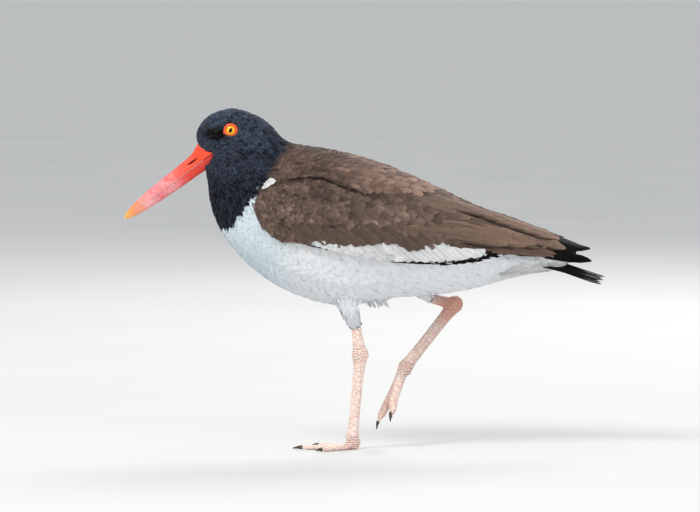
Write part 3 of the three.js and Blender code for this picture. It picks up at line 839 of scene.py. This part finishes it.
def mantle_plumes(p):
    back = smooth_step(p[:, 0], -65, 60)
    length = 8.5 + 10.0 * back
    return length, length * 0.36, 0.75 + 0.4 * back, np.full(len(p), 0.7)


def covert_plumes(p):
    back = smooth_step(p[:, 0], -85, 60)
    length = 6.0 + 9.0 * back
    return length, length * 0.38, 0.6 + 0.45 * back, np.full(len(p), 0.8)


def spacing_in(zone, shape_of, share):
    """The gap between a tract's feathers as a share of their length, and infinite where none grow: in the
    other tracts, on bare places, and under the wing's long feathers."""
    def spacing(p):
        length = shape_of(p)[0]
        x, z = p[:, 0], p[:, 2]
        quilled = (x > QUILLS_X) & (on_wing(p) > -3)
        if zone == WING_ZONE:
            quilled |= (x > STRIPE_X) & (z < brown_low(x) + 8)
        return np.where((zones(p) == zone) & ~bare(p) & ~quilled, length * share, np.inf)
    return spacing


def grow_coat(surface):
    """The four tracts, and the finishes that the long feathers share with them."""
    random = np.random.default_rng(SEED)
    black = plume_finish("black_feathers", 0.4, 0.5, 0.0, 0.05)
    white = plume_finish("white_feathers", 0.035, 0.8, 0.1, 0.2)
    brown = plume_finish("brown_feathers", 0.22, 0.62, 0.03, 0.1)
    dark = plume_finish("dark_quills", 0.3, 0.5, 0.0, 0.08)
    # Name, finish, slot, zone, shape, spacing as a share of length, stray in radians, mottle and calm
    tracts = [
        ("coat_black", black, "black_plumage", BLACK_ZONE, head_plumes, 0.38, 0.2, 0.42, 0.25),
        ("coat_white", white, "white_plumage", WHITE_ZONE, white_plumes, 0.27, 0.09, 0.015, 0.86),
        ("coat_mantle", brown, "brown_feathers", MANTLE_ZONE, mantle_plumes, 0.34, 0.1, 0.2, 0.5),
        ("coat_wings", brown, "brown_feathers", WING_ZONE, covert_plumes, 0.34, 0.12, 0.24, 0.55),
    ]
    for name, finish, slot, zone, shape_of, share, stray, mottle, calm in tracts:
        spacing_of = spacing_in(zone, shape_of, share)
        plume_tract(name, surface, finish, spacing_of, shape_of, random, stray, mottle, calm)
    return brown, white, dark


# Long feathers

QUILL_ROWS, QUILL_COLUMNS = 9, 7
QUILL_CAMBER = 0.16
QUILL_THICKNESS = 0.35
QUILL_BARBS = 3.0
QUILL_WIDTH_AT = [0, 0.15, 0.7, 0.9, 1]  # shares of the length
QUILL_WIDTH = [0.5, 0.9, 1.0, 0.86, 0.42]


def vane(side, points, half, lift, length, colour, **more):
    """One long feather: points [x, z] from root to tip, half-width, how far root and tip stand off the
    skin, the length that its ragged tip is a share of, and its colouring. One that hangs in the air has a
    y of its own at root and tip, and a normal."""
    return dict(side=side, points=points, half=half, lift=lift, length=length, colour=colour, **more)


def laid(path, t, surface):
    """Places and normals along one long feather. Past the skin's outline it goes on from its last place."""
    points = np.array(path["points"], dtype=float)
    reach = np.linspace(0, 1, len(points))
    x, z = (np.interp(t, reach, column) for column in points.T)
    if "y" in path:
        y = np.interp(t, [0, 1], path["y"])
        return np.stack([x, y, z], axis=1) * MM, np.tile(path["normal"], (len(t), 1))
    places, normals = [], []
    for row in range(len(t)):
        place, normal = surface.from_side(x[row], z[row], path["side"])
        if place is None:
            drawn_in = 0.9 if row > len(t) - 3 else 1.0
            place = Vector((x[row] * MM, places[-1].y * drawn_in, z[row] * MM))
            normal = normals[-1]
        places.append(place)
        normals.append(normal)
    return np.array(places), np.array(normals)


def quills(name, paths, finish, surface, random, calm=0.6):
    """Long feathers, one for each path that vane gives, as one piece."""
    count = len(paths)
    middle = np.empty((count, QUILL_ROWS, 3))
    normal = np.empty_like(middle)
    lift = np.empty((count, QUILL_ROWS))
    colours = np.empty((count, QUILL_ROWS, QUILL_COLUMNS, 3))
    t = np.linspace(0, 1, QUILL_ROWS)
    u = np.linspace(-1, 1, QUILL_COLUMNS)
    for i, path in enumerate(paths):
        middle[i], normal[i] = laid(path, t, surface)
        lift[i] = np.interp(t, [0, 1], path["lift"]) * MM
        shade = path["colour"](t[:, None], u[None, :])
        colours[i] = np.clip(shade * random.normal(1, 0.05), DARKEST, PALEST)
    normal[:, 1:-1] = unit(normal[:, 1:-1] + 0.5 * normal[:, :-2] + 0.5 * normal[:, 2:])
    across = unit(np.cross(normal, unit(np.gradient(middle, axis=1))))
    half = np.array([path["half"] for path in paths]) * MM
    profile = np.interp(t, QUILL_WIDTH_AT, QUILL_WIDTH)
    length = np.array([path["length"] for path in paths])[:, None] * MM
    fray = u**2 * half[:, None] * 0.7 + random.uniform(0, 0.012, (count, QUILL_COLUMNS)) * length
    roots = skin_unwrap(middle[:, 0] / MM)
    mesh = vane_mesh(name, middle, across, normal, half, profile, lift, QUILL_CAMBER, fray,
                     QUILL_THICKNESS * MM, colours, roots, random, calm, QUILL_BARBS)
    return piece(name, mesh, finish)


def shade_of(base, fringe=0.35, shaft=0.2, gap=0.0, side=-1):
    """Colour over a long vane: paler rim, darker shaft, and painted shadow along the lower edge where a gap
    shows.
    """
    def colour(t, u):
        rim = np.maximum(np.abs(u) ** 6, smooth_step(t, 0.9, 1.0))
        value = (1 - 0.2 * (1 - t)) * (1 + fringe * rim) * (1 - shaft * np.exp(-((u / 0.1) ** 2)))
        # painted shadow along one edge, where a gap between feathers shows
        dark = gap * smooth_step(side * u, 0.4, 0.9) * smooth_step(t, 0.3, 0.6)
        return base[None, None, :] * (value * (1 - dark))[..., None]
    return colour


# Points [x, z] and half-width of the black tips, of the dark strips painted as shadow in the gaps along the
# wing's upper fold and edge, with their lift, and of the white feathers that lie over the wing's bend
PRIMARY_TIPS = [
    ([[118, 164.5], [150, 162.2], [177.5, 158.8]], 3.9), ([[128, 158.4], [146, 157], [164, 155.4]], 3.0),
    ([[108, 157], [150, 153.6], [178.5, 150]], 3.3),
]
SHADOW_STRIPS = [
    ([(-60, 214.2), (-50, 216.2), (-37, 216.4)], 0.45, 0.8),
    ([(-45, 216.6), (-34, 215.6), (-24, 212.2)], 1.2, 0.95),
    ([(-29, 213.6), (-17, 208.8), (-4, 204.8)], 0.7, 0.85),
    ([(-45, 164.6), (-36, 162.8), (-26, 161)], 0.7, 1.3),
]
SHOULDER_WHITE = [
    ([(-80.6, 208.6), (-75.6, 211.4), (-69.4, 213.8)], 2.2),
    ([(-79.4, 210.6), (-75.6, 213), (-72.4, 215.4)], 2.4),
    ([(-80.8, 207.8), (-77, 209.6), (-73.4, 211)], 1.5),
    ([(-78, 211.4), (-75, 213), (-70.6, 215)], 1.8),
]
TERTIALS = [
    dict(count=7, root=(28, 176), root_step=(9, 1.2), tip=(112, 163.5), tip_step=(7.6, -0.7), stagger=1.6,
         rise=2, half=6.4, lift=2.4, lift_step=-0.1, brown=srgb(120, 98, 85)),
    dict(count=6, root=(40, 200), root_step=(10, -3.4), tip=(100, 184), tip_step=(10.5, -3.6), stagger=0,
         rise=1.5, half=6.6, lift=2.8, lift_step=0, brown=srgb(130, 106, 92)),
]
LOWEST_TERTIALS = [((66, 164), (128, 157.6)), ((84, 162.6), (150, 155.8)), ((76, 164), (139, 158.6))]
LOWEST_BROWN = srgb(104, 84, 74)


def bowed(root, tip, rise):
    """Three points [x, z] from root to tip, with the middle raised."""
    return [root, [0.5 * (root[0] + tip[0]), 0.5 * (root[1] + tip[1]) + rise], tip]


def secondaries(side):
    """The dark edge that shows below the white stripe."""
    found = []
    for k in range(13):
        x = 22 + 6.6 * k
        low = wing_low(x) - 0.5
        points = [[x - 10, low + 3.4], [x, low + 1.2], [x + 11, low + 0.4]]
        found.append(vane(side, points, 1.7, (0.5, 0.8), 16, shade_of(QUILL_BLACK * 1.6, 0.2)))
    return found


def greater_coverts(side, random):
    """The white stripe."""
    found = []
    for k in range(28):
        x = -36 + 4.7 * k + random.uniform(-1.2, 1.2)
        low = wing_low(x + 5) + 1.4 + random.uniform(-0.7, 0.7)
        if 20 < x < 82:
            low += 1.2
        points = [[x - 12, low + 14.5], [x - 5.5, low + 7.6], [x - 0.5, low + 3.0], [x + 4.5, low]]
        found.append(vane(side, points, 4.3, (0.3, 1.0), 22, shade_of(WHITE * 0.97, -0.12)))
    return found


def median_coverts(side, random):
    """The brown feathers whose tips overhang the white stripe."""
    found = []
    for k in range(23):
        x = -42 + 5.9 * k + random.uniform(-1.5, 1.5)
        low = brown_low(x) + random.uniform(-0.8, 1.2) + (1.2 if k % 4 == 2 else 0)
        points = [[x - 16, low + 15], [x - 7, low + 9], [x, low + 3.6]]
        colour = shade_of(BROWN * random.uniform(0.85, 1.1), 0.3)
        found.append(vane(side, points, 5.8, (0.8, 1.5), 20, colour))
    return found


def tertials(side, random):
    """The long brown feathers of the wing's rear, in a lower and an upper row, and three short ones below
    them."""
    found = []
    for row in TERTIALS:
        for k in range(row["count"]):
            root = np.array(row["root"]) + k * np.array(row["root_step"])
            tip = np.array(row["tip"]) + k * np.array(row["tip_step"])
            tip[1] += row["stagger"] * (k % 2)
            lift = (0.8, row["lift"] + row["lift_step"] * k)
            # the tertials' lower edges carry a painted shadow of the gaps between them
            colour = shade_of(row["brown"] * random.uniform(0.85, 1.1), 0.45, 0.2, 0.95, side)
            found.append(vane(side, bowed(root, tip, row["rise"]), row["half"], lift, 40, colour))
    for root, tip in LOWEST_TERTIALS:
        found.append(vane(side, bowed(root, tip, 1.0), 4.2, (0.6, 1.2), 36, shade_of(LOWEST_BROWN, 0.4)))
    return found


def primaries(side):
    """The black tips, and dark strips painted as shadow in the gaps of the wing's folds."""
    tip_colour, shadow_colour = shade_of(QUILL_BLACK, 0.5), shade_of(BROWN * 0.16, 0.0)
    found = [vane(side, points, half, (0.4, 0.9), 30, tip_colour) for points, half in PRIMARY_TIPS]
    return found + [vane(side, points, half, (lift, lift), 2, shadow_colour) for points, half, lift in SHADOW_STRIPS]


def loose_white(side, random):
    """White feathers over the wing's bend, in a wispy tuft low on the belly's left, and under the tail."""
    over_bend = shade_of(WHITE, -0.05)
    found = [vane(side, points, half, (0.6, 1.3), 8, over_bend) for points, half in SHOULDER_WHITE]
    for k in range(9 if side < 0 else 0):
        x = 2 + 1.9 * k + random.uniform(-1.2, 1.2)
        tip = 110.5 + random.uniform(0, 3.5) + 0.35 * abs(k - 4)
        points = [[x - 5, 123], [x - 1, 117], [x + 1.5, tip]]
        y = (side * 8, side * random.uniform(3, 7))
        found.append(vane(side, points, 0.8 + 0.4 * (k % 2), (0, 0), 30, shade_of(WHITE, 0.0), y=y,
                          normal=unit(np.array([0.1, side, 0.25]))))
    for k in range(9):
        x = 122 + 3.6 * k
        low = 143.2 - 0.04 * (x - 122) + 1.6 * (k % 3)
        points = [[x - 16, low - 2.5], [x - 7, low - 1.5], [x + 2, low]]
        # painted shade: the white under the tail is painted darker
        found.append(vane(side, points, 3.6, (0.6, 1.2), 24, shade_of(WHITE * 0.8, -0.05)))
    return found


def wing_quills(surface, brown, white, black):
    random = np.random.default_rng(SEED + 1)
    for side, word in ((-1, "left"), (1, "right")):
        def row(name, paths, finish, slot, calm=0.6):
            quills(f"{name}_{word}", paths, finish, surface, random, calm)

        row("secondaries", secondaries(side), black, "dark_quills")
        row("greater_coverts", greater_coverts(side, random), white, "white_feathers", 0.88)
        row("median_coverts", median_coverts(side, random), brown, "brown_feathers", 0.75)
        row("tertials", tertials(side, random), brown, "brown_feathers")
        row("primaries", primaries(side), black, "dark_quills")
        row("loose_white", loose_white(side, random), white, "white_feathers", 0.85)


def tail_quills(surface, black):
    """The closed tail: twelve quills fanned out a little, the middle ones on top and longest."""
    random = np.random.default_rng(SEED + 2)
    paths = []
    for rank in range(6):
        for side in (-1, 1):
            spread = (5.5 - rank) / 5.5
            low = 2.6 * spread**2 + 0.6 * (5 - rank)
            end_x = 189.8 - 3.4 * spread**2 - 1.6 * (rank % 2)
            points = [[122, 154 - low * 0.5], [158, 147.6 - low], [end_x, 137.6 - low]]
            # painted light: the upper, middle quills are painted lighter than the lower, outer ones
            colour = shade_of(QUILL_BLACK * (1.0 + 0.5 * rank), 0.25)
            y = (side * 7.5 * spread, side * 16.8 * spread)
            normal = unit(np.array([0.16, side * 0.25 * spread, 1.0]))
            paths.append(vane(side, points, 3.9, (0, 0), 12, colour, y=y, normal=normal))
    return quills("tail_quills", paths, black, surface, random)


# Bill

BILL_RINGS, TIP_RINGS, BILL_SIDES = 52, 12, 40
TIP_START = 71.0
MOUTH_LINE = -1.3  # height over the bill's axis, as are the next ones
GROOVE_HEIGHT = {True: 2.6, False: -5.0}  # in the upper half, and in the lower
NOSTRIL_HEIGHT = 2.4
NOSTRIL_START, NOSTRIL_END = 2.4, 14.0  # along the bill
NOSTRIL_DEPTH = 1.9
# Painted shade in the nostril's slit
NOSTRIL_SHADE = (8.2, 2.9, 5.2, 0.75)  # along, height, half-length and half-height of the dark in the slit


def bill_section(along, ridge, half, upper):
    """One half's section at a place along the bill, from one side of the mouth, over the ridge or the keel,
    to the other."""
    turn = np.linspace(0, math.pi, BILL_SIDES)
    sign = 1 if upper else -1
    reach = max(ridge - sign * MOUTH_LINE, 0.3)
    gap = 0.16 * (1 - along / BILL_LENGTH) + 0.05
    y = half * np.sign(np.cos(turn)) * np.abs(np.cos(turn)) ** (0.55 if along < 0 else 0.82)
    up = MOUTH_LINE + sign * (gap + (reach - gap) * np.sin(turn) ** 0.88)
    fade = math.exp(-((along - 9) / 18) ** 2)
    groove = np.exp(-(((up - GROOVE_HEIGHT[upper]) / 1.1) ** 2)) * 0.34 * fade
    rim = np.exp(-(((up - MOUTH_LINE) / 0.9) ** 2)) * 0.14
    y = y * (1 - groove / max(half, 1)) + np.sign(y) * rim * min(1, half / 3)
    if upper and NOSTRIL_START < along < NOSTRIL_END:
        share = (along - NOSTRIL_START) / (NOSTRIL_END - NOSTRIL_START)
        depth = NOSTRIL_DEPTH * math.sin(math.pi * share) ** 0.5
        y -= np.sign(y) * depth * np.exp(-(((up - NOSTRIL_HEIGHT - 0.6 * share) / 0.42) ** 2))
    section = BILL_ROOT + along * BILL_ALONG + up[:, None] * BILL_UP
    section[:, 1] += y
    return section


def bill_half(name, upper, node):
    """One half of the bill, with its long groove, the rim of the mouth and the nostril's slit."""
    shaft = np.linspace(-BILL_BURIED, TIP_START - 1, BILL_RINGS)
    along = np.concatenate([shaft, np.linspace(TIP_START, BILL_LENGTH, TIP_RINGS)])
    stations = zip(along, bill_at(along, ABOVE if upper else BELOW), bill_at(along, HALF_WIDTH))
    mesh = lofted(name, np.array([bill_section(*station, upper) for station in stations]))
    share = np.repeat(np.clip(along / BILL_LENGTH, 0, 1), BILL_SIDES)
    around = np.tile(np.linspace(0, 1, BILL_SIDES), len(along))
    add_map(mesh, "horn", np.concatenate([np.stack([share, around], axis=1), [[0, 0.5], [1, 0.5]]]))
    mesh.set_sharp_from_angle(angle=math.radians(50))
    piece(name, mesh, bill_finish(name, upper), (node,))


def bill_finish(name, upper):
    """Orange root, pink middle and yellow tip, with pale worn streaks, and painted shade along the mouth and
    in the nostril.
    """
    f = Finish(name)
    share, _, _ = f.split(f.on_map("horn"))
    streak = f.noise(f.place(), 120.0, 5.0, 0.65)
    fine = f.noise(f.stretched(f.on_map("horn"), (14, 60, 1)), 2.2, 4.0, 0.6)
    root = solid_colour(238, 74, 40) if upper else solid_colour(228, 60, 42)
    front = solid_colour(236, 76, 50) if upper else root
    middle = solid_colour(230, 104, 108) if upper else solid_colour(222, 84, 92)
    base = f.ramp(share, (0.0, root), (0.3, front), (0.62, middle), (0.88, solid_colour(240, 140, 70)),
                  (1.0, solid_colour(246, 190, 96)))
    worn_zone = f.ramp(share, (0.22, 0.0), (0.38, 0.85), (0.72, 0.95), (0.92, 0.1))
    streaks = f.ramp(f.maths("MULTIPLY_ADD", fine, 0.75, f.times(streak, 0.25)), (0.48, 0.0), (0.58, 1.0))
    worn = f.times(streaks, worn_zone)
    colour = f.mix(f.times(worn, 0.78 if upper else 0.95), base, solid_colour(250, 214, 222))
    colour = f.shaded(colour, f.ramp(f.noise(f.place(), 420.0, 3.0), (0.3, 0.86), (0.7, 1.0)))
    offset = f.vectors("SUBTRACT", f.place(), tuple(BILL_ROOT * MM))
    along = f.times(f.vectors("DOT_PRODUCT", offset, tuple(BILL_ALONG)), 1 / MM)
    up = f.times(f.vectors("DOT_PRODUCT", offset, tuple(BILL_UP)), 1 / MM)
    middle_along, middle_up, half_length, half_height = NOSTRIL_SHADE
    slit_along = f.maths("DIVIDE", f.maths("SUBTRACT", along, middle_along), half_length)
    slit_up = f.maths("DIVIDE", f.maths("SUBTRACT", up, middle_up), half_height)
    # painted shade along the line of the mouth, strongest at the root, and in the nostril's slit
    mouth = f.maths("ABSOLUTE", f.maths("SUBTRACT", up, MOUTH_LINE))
    dark = f.times(f.ramp(mouth, (0.0, 0.75), (0.6, 0.0)), f.ramp(share, (0.0, 1.0), (0.5, 0.3)))
    if upper:
        dark = f.maths("MAXIMUM", dark, f.ramp(f.squares(slit_along, slit_up), (0.5, 0.92), (1.0, 0.0)))
    f.set(Base_Color=f.mix(dark, colour, solid_colour(62, 14, 12)), Normal=f.bump(fine, 0.00018),
          Roughness=f.maths("MULTIPLY_ADD", worn, 0.22, 0.3),
          Subsurface_Weight=0.12, Subsurface_Radius=(0.002, 0.0006, 0.0004))
    return f.material


# Eyes

EYE_RADIUS = 5.9
EYE_POLE = 0.04  # radians from the axis to the eyeball's first ring
IRIS_MAP = 10.0  # millimetres across the map
# The bare ring: a bead turned about the eye, with its radius and height there, and its own half-width and
# half-height. It slopes away outwards, and is drawn out to a corner in front.
BEAD_RADIUS, BEAD_HEIGHT = 4.85, 4.35
BEAD_HALF_WIDTH, BEAD_HALF_HEIGHT = 0.82, 0.6
BEAD_SLOPE = 0.45
CORNER_TURN = math.radians(208)
CORNER_REACH = 1.9
WRINKLES, WRINKLE_DEPTH = 23, 0.07


def dome(radii, heights, centre, side, sides=48):
    """Points of a shape turned about an axis across the bird: rings of radius at height outwards."""
    turn = np.linspace(0, 2 * math.pi, sides, endpoint=False)
    rings = [np.stack([r * np.cos(turn), np.full(sides, side * h), r * np.sin(turn)], axis=1)
             for r, h in zip(radii, heights)]
    return np.array(rings) + centre


def lid_rings(centre, side):
    bead = np.linspace(0, 2 * math.pi, 14, endpoint=False)
    radii = BEAD_RADIUS + BEAD_HALF_WIDTH * np.cos(bead)
    heights = BEAD_HEIGHT + BEAD_HALF_HEIGHT * np.sin(bead) - BEAD_SLOPE * (radii - 4.5)
    lid = dome(radii, heights, centre, side, 72)
    offset = lid - centre
    outwards = unit(offset * [1, 0, 1])
    turn = np.arctan2(offset[..., 2], offset[..., 0])
    corner = np.exp(-((np.angle(np.exp(1j * (turn - CORNER_TURN))) / 0.22) ** 2))
    outer = smooth_step(np.hypot(offset[..., 0], offset[..., 2]), 4.4, 5.5)
    push = (corner * outer * CORNER_REACH)[..., None] * outwards
    return lid + push + WRINKLE_DEPTH * np.sin(turn * WRINKLES)[..., None] * outwards * outer[..., None]


def make_eyes():
    ball, ring = eye_finish(), ring_finish()
    polar = np.linspace(EYE_POLE, math.pi - EYE_POLE, 30)
    radii, heights = EYE_RADIUS * np.sin(polar), EYE_RADIUS * np.cos(polar)
    for side, word in ((-1, "left"), (1, "right")):
        centre = EYE_CENTRE * [1, side, 1]
        mesh = lofted(f"eye_{word}", dome(radii, heights, centre, side))
        add_map(mesh, "iris", (vertex_places(mesh) / MM - centre)[:, [0, 2]] / IRIS_MAP + 0.5)
        piece(f"eyeball_{word}", mesh, ball, (f"eye_{word}",))
        mesh = lofted(f"eye_ring_{word}", lid_rings(centre, side), joined=True)
        piece(f"eye_ring_{word}", mesh, ring)


def eye_finish():
    """A yellow iris, darker at its rim, with fine rays and a slightly upright pupil that leans forwards."""
    f = Finish("eyeball")
    u, v, _ = f.split(f.on_map("iris"))
    x = f.maths("SUBTRACT", u, 0.495)
    z = f.maths("SUBTRACT", v, 0.5)
    lean = f.maths("MULTIPLY_ADD", z, -0.25, x)
    pupil = f.maths("SQRT", f.squares(f.times(lean, 1.35), z))
    from_middle = f.maths("SQRT", f.squares(x, z))
    turn = f.times(f.maths("ARCTAN2", z, x), 5.0)
    rays = f.noise(f.node("CombineXYZ", {0: turn, 1: f.times(from_middle, 6.0)}).outputs[0], 3.0, 3.0)
    iris = f.ramp(from_middle, (0.0, solid_colour(255, 196, 40)), (0.24, solid_colour(255, 184, 34)),
                  (0.36, solid_colour(250, 150, 24)), (0.42, solid_colour(120, 34, 10)))
    iris = f.shaded(iris, f.ramp(rays, (0.3, 0.82), (0.7, 1.0)))
    black = f.ramp(pupil, (0.18, 1.0), (0.2, 0.0))
    f.set(Base_Color=f.mix(black, iris, solid_colour(8, 6, 6)), Roughness=0.12, Coat_Weight=0.35,
          Coat_Roughness=0.02, Specular_IOR_Level=0.2)
    return f.material


def ring_finish():
    f = Finish("eye_ring")
    wrinkles = f.noise(f.place(), 1500.0, 3.0)
    f.set(Base_Color=f.ramp(wrinkles, (0.3, solid_colour(206, 52, 24)), (0.7, solid_colour(240, 100, 52))),
          Roughness=0.42, Normal=f.bump(wrinkles, 0.0002))
    return f.material


# Legs and claws

# Name, slot, nodes, voxel, growth before the remesh, rounds of smoothing after it, and shrinking at the end
LEG_PIECES = [
    ("leg", "leg_skin", ["shin", "tarsus", "toe_inner", "toe_middle", "toe_outer"], 0.62, 0.25, 6, 0.2),
    ("claws", "claw_horn", ["claw_inner", "claw_middle", "claw_outer"], 0.3, 0.1, 3, 0.0),
]
# In metres: the standing ankle, the lifted foot's root and the standing foot's, and the lifted ankle
LEG_JOINTS = [(-0.0062, -0.008, 0.077), (0.0306, 0.012, 0.0628), (-0.0094, 0.0006, 0.005)]
LIFTED_ANKLE = (0.0708, 0.017, 0.1136)


def make_legs():
    finishes = {"leg_skin": leg_finish(), "claw_horn": claw_finish()}
    for word in ("left", "right"):
        for name, slot, parts, voxel, growth, rounds, shrinking in LEG_PIECES:
            nodes = [f"{part}_{word}" for part in parts]
            mesh = remeshed(nodes, voxel * MM, growth * MM, rounds)
            places = vertex_places(mesh) - vertex_normals(mesh) * shrinking * MM
            places[:, 2] = np.maximum(places[:, 2], 0)
            move_vertices(mesh, places)
            piece(f"{name}_{word}", mesh, finishes[slot], nodes)


def leg_finish():
    """Pale pink skin with scales, folds and redder skin at the joints, and painted shade on the lifted leg.
    """
    f = Finish("leg_skin")
    place = f.place()
    cells = f.node("TexVoronoi", {"Vector": place, "Scale": 300.0}, feature="DISTANCE_TO_EDGE")
    scales = cells.outputs["Distance"]
    blotch = f.noise(place, 90.0, 3.0)
    colour = f.ramp(blotch, (0.3, solid_colour(236, 200, 186)), (0.7, solid_colour(250, 230, 220)))
    colour = f.mix(f.ramp(scales, (0.0, 0.28), (0.07, 0.0)), colour, solid_colour(176, 122, 106))
    _, across, height = f.split(place)
    # painted shade: the lifted leg, on the right and off the floor, is painted darker and greyer
    right = f.ramp(across, (0.004, 0.0), (0.01, 1.0))
    lifted = f.times(right, f.ramp(height, (0.022, 0.0), (0.034, 1.0)))
    colour = f.mix(f.times(lifted, 0.55), colour, solid_colour(186, 160, 148))
    wander = f.noise(place, 150.0)
    bands = f.maths("SINE", f.maths("MULTIPLY_ADD", wander, 14.0, f.times(height, 3300.0)))
    first, second, third = (f.vectors("DISTANCE", place, joint) for joint in LEG_JOINTS)
    near = f.maths("MINIMUM", f.maths("MINIMUM", first, second), third)
    at_joint = f.ramp(f.times(near, 100.0), (0.45, 1.0), (1.05, 0.0))
    folds = f.times(f.ramp(bands, (0.35, 0.0), (0.9, 1.0)), at_joint)
    colour = f.mix(f.times(folds, 0.38), colour, solid_colour(170, 110, 96))
    from_ankle = f.times(f.vectors("DISTANCE", place, LIFTED_ANKLE), 40.0)
    colour = f.mix(f.ramp(from_ankle, (0.3, 0.75), (0.85, 0.0)), colour, solid_colour(196, 128, 108))
    relief = f.bump(f.ramp(scales, (0.0, 0.0), (0.12, 1.0)), 0.0004, f.bump(blotch, 0.0008))
    f.set(Base_Color=colour, Roughness=0.5, Normal=f.bump(f.maths("SUBTRACT", 1.0, folds), 0.0009, relief),
          Subsurface_Weight=0.15, Subsurface_Radius=(0.003, 0.0012, 0.0008))
    return f.material


def claw_finish():
    f = Finish("claw_horn")
    grain = f.noise(f.stretched(f.place(), (1, 1, 0.3)), 900.0, 3.0)
    f.set(Base_Color=f.ramp(grain, (0.3, solid_colour(36, 27, 23)), (0.75, solid_colour(92, 74, 62))),
          Roughness=0.38, Normal=f.bump(grain, 0.0001))
    return f.material


def make_floor():
    f = Finish("floor")
    grain = f.noise(f.place(), 3.0, 2.0)
    f.set(Base_Color=f.ramp(grain, (0.3, FLOOR_COLOURS[0]), (0.7, FLOOR_COLOURS[1])), Roughness=0.85)
    corners = [(-1, -1, 0), (1, -1, 0), (1, 1, 0), (-1, 1, 0)]
    mesh = new_mesh("floor", np.array(corners) * FLOOR_REACH, [(0, 1, 2, 3)])
    mesh.materials.append(f.material)
    in_scene("floor", mesh)


place_camera()
light_studio()
make_floor()
surface = Surface(make_skin(skin_finish()))
brown, white, dark = grow_coat(surface)
wing_quills(surface, brown, white, dark)
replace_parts(tail_quills(surface, dark), "tail")
bill_half("bill_upper_horn", True, "bill_upper")
bill_half("bill_lower_horn", False, "bill_lower")
make_eyes()
make_legs()
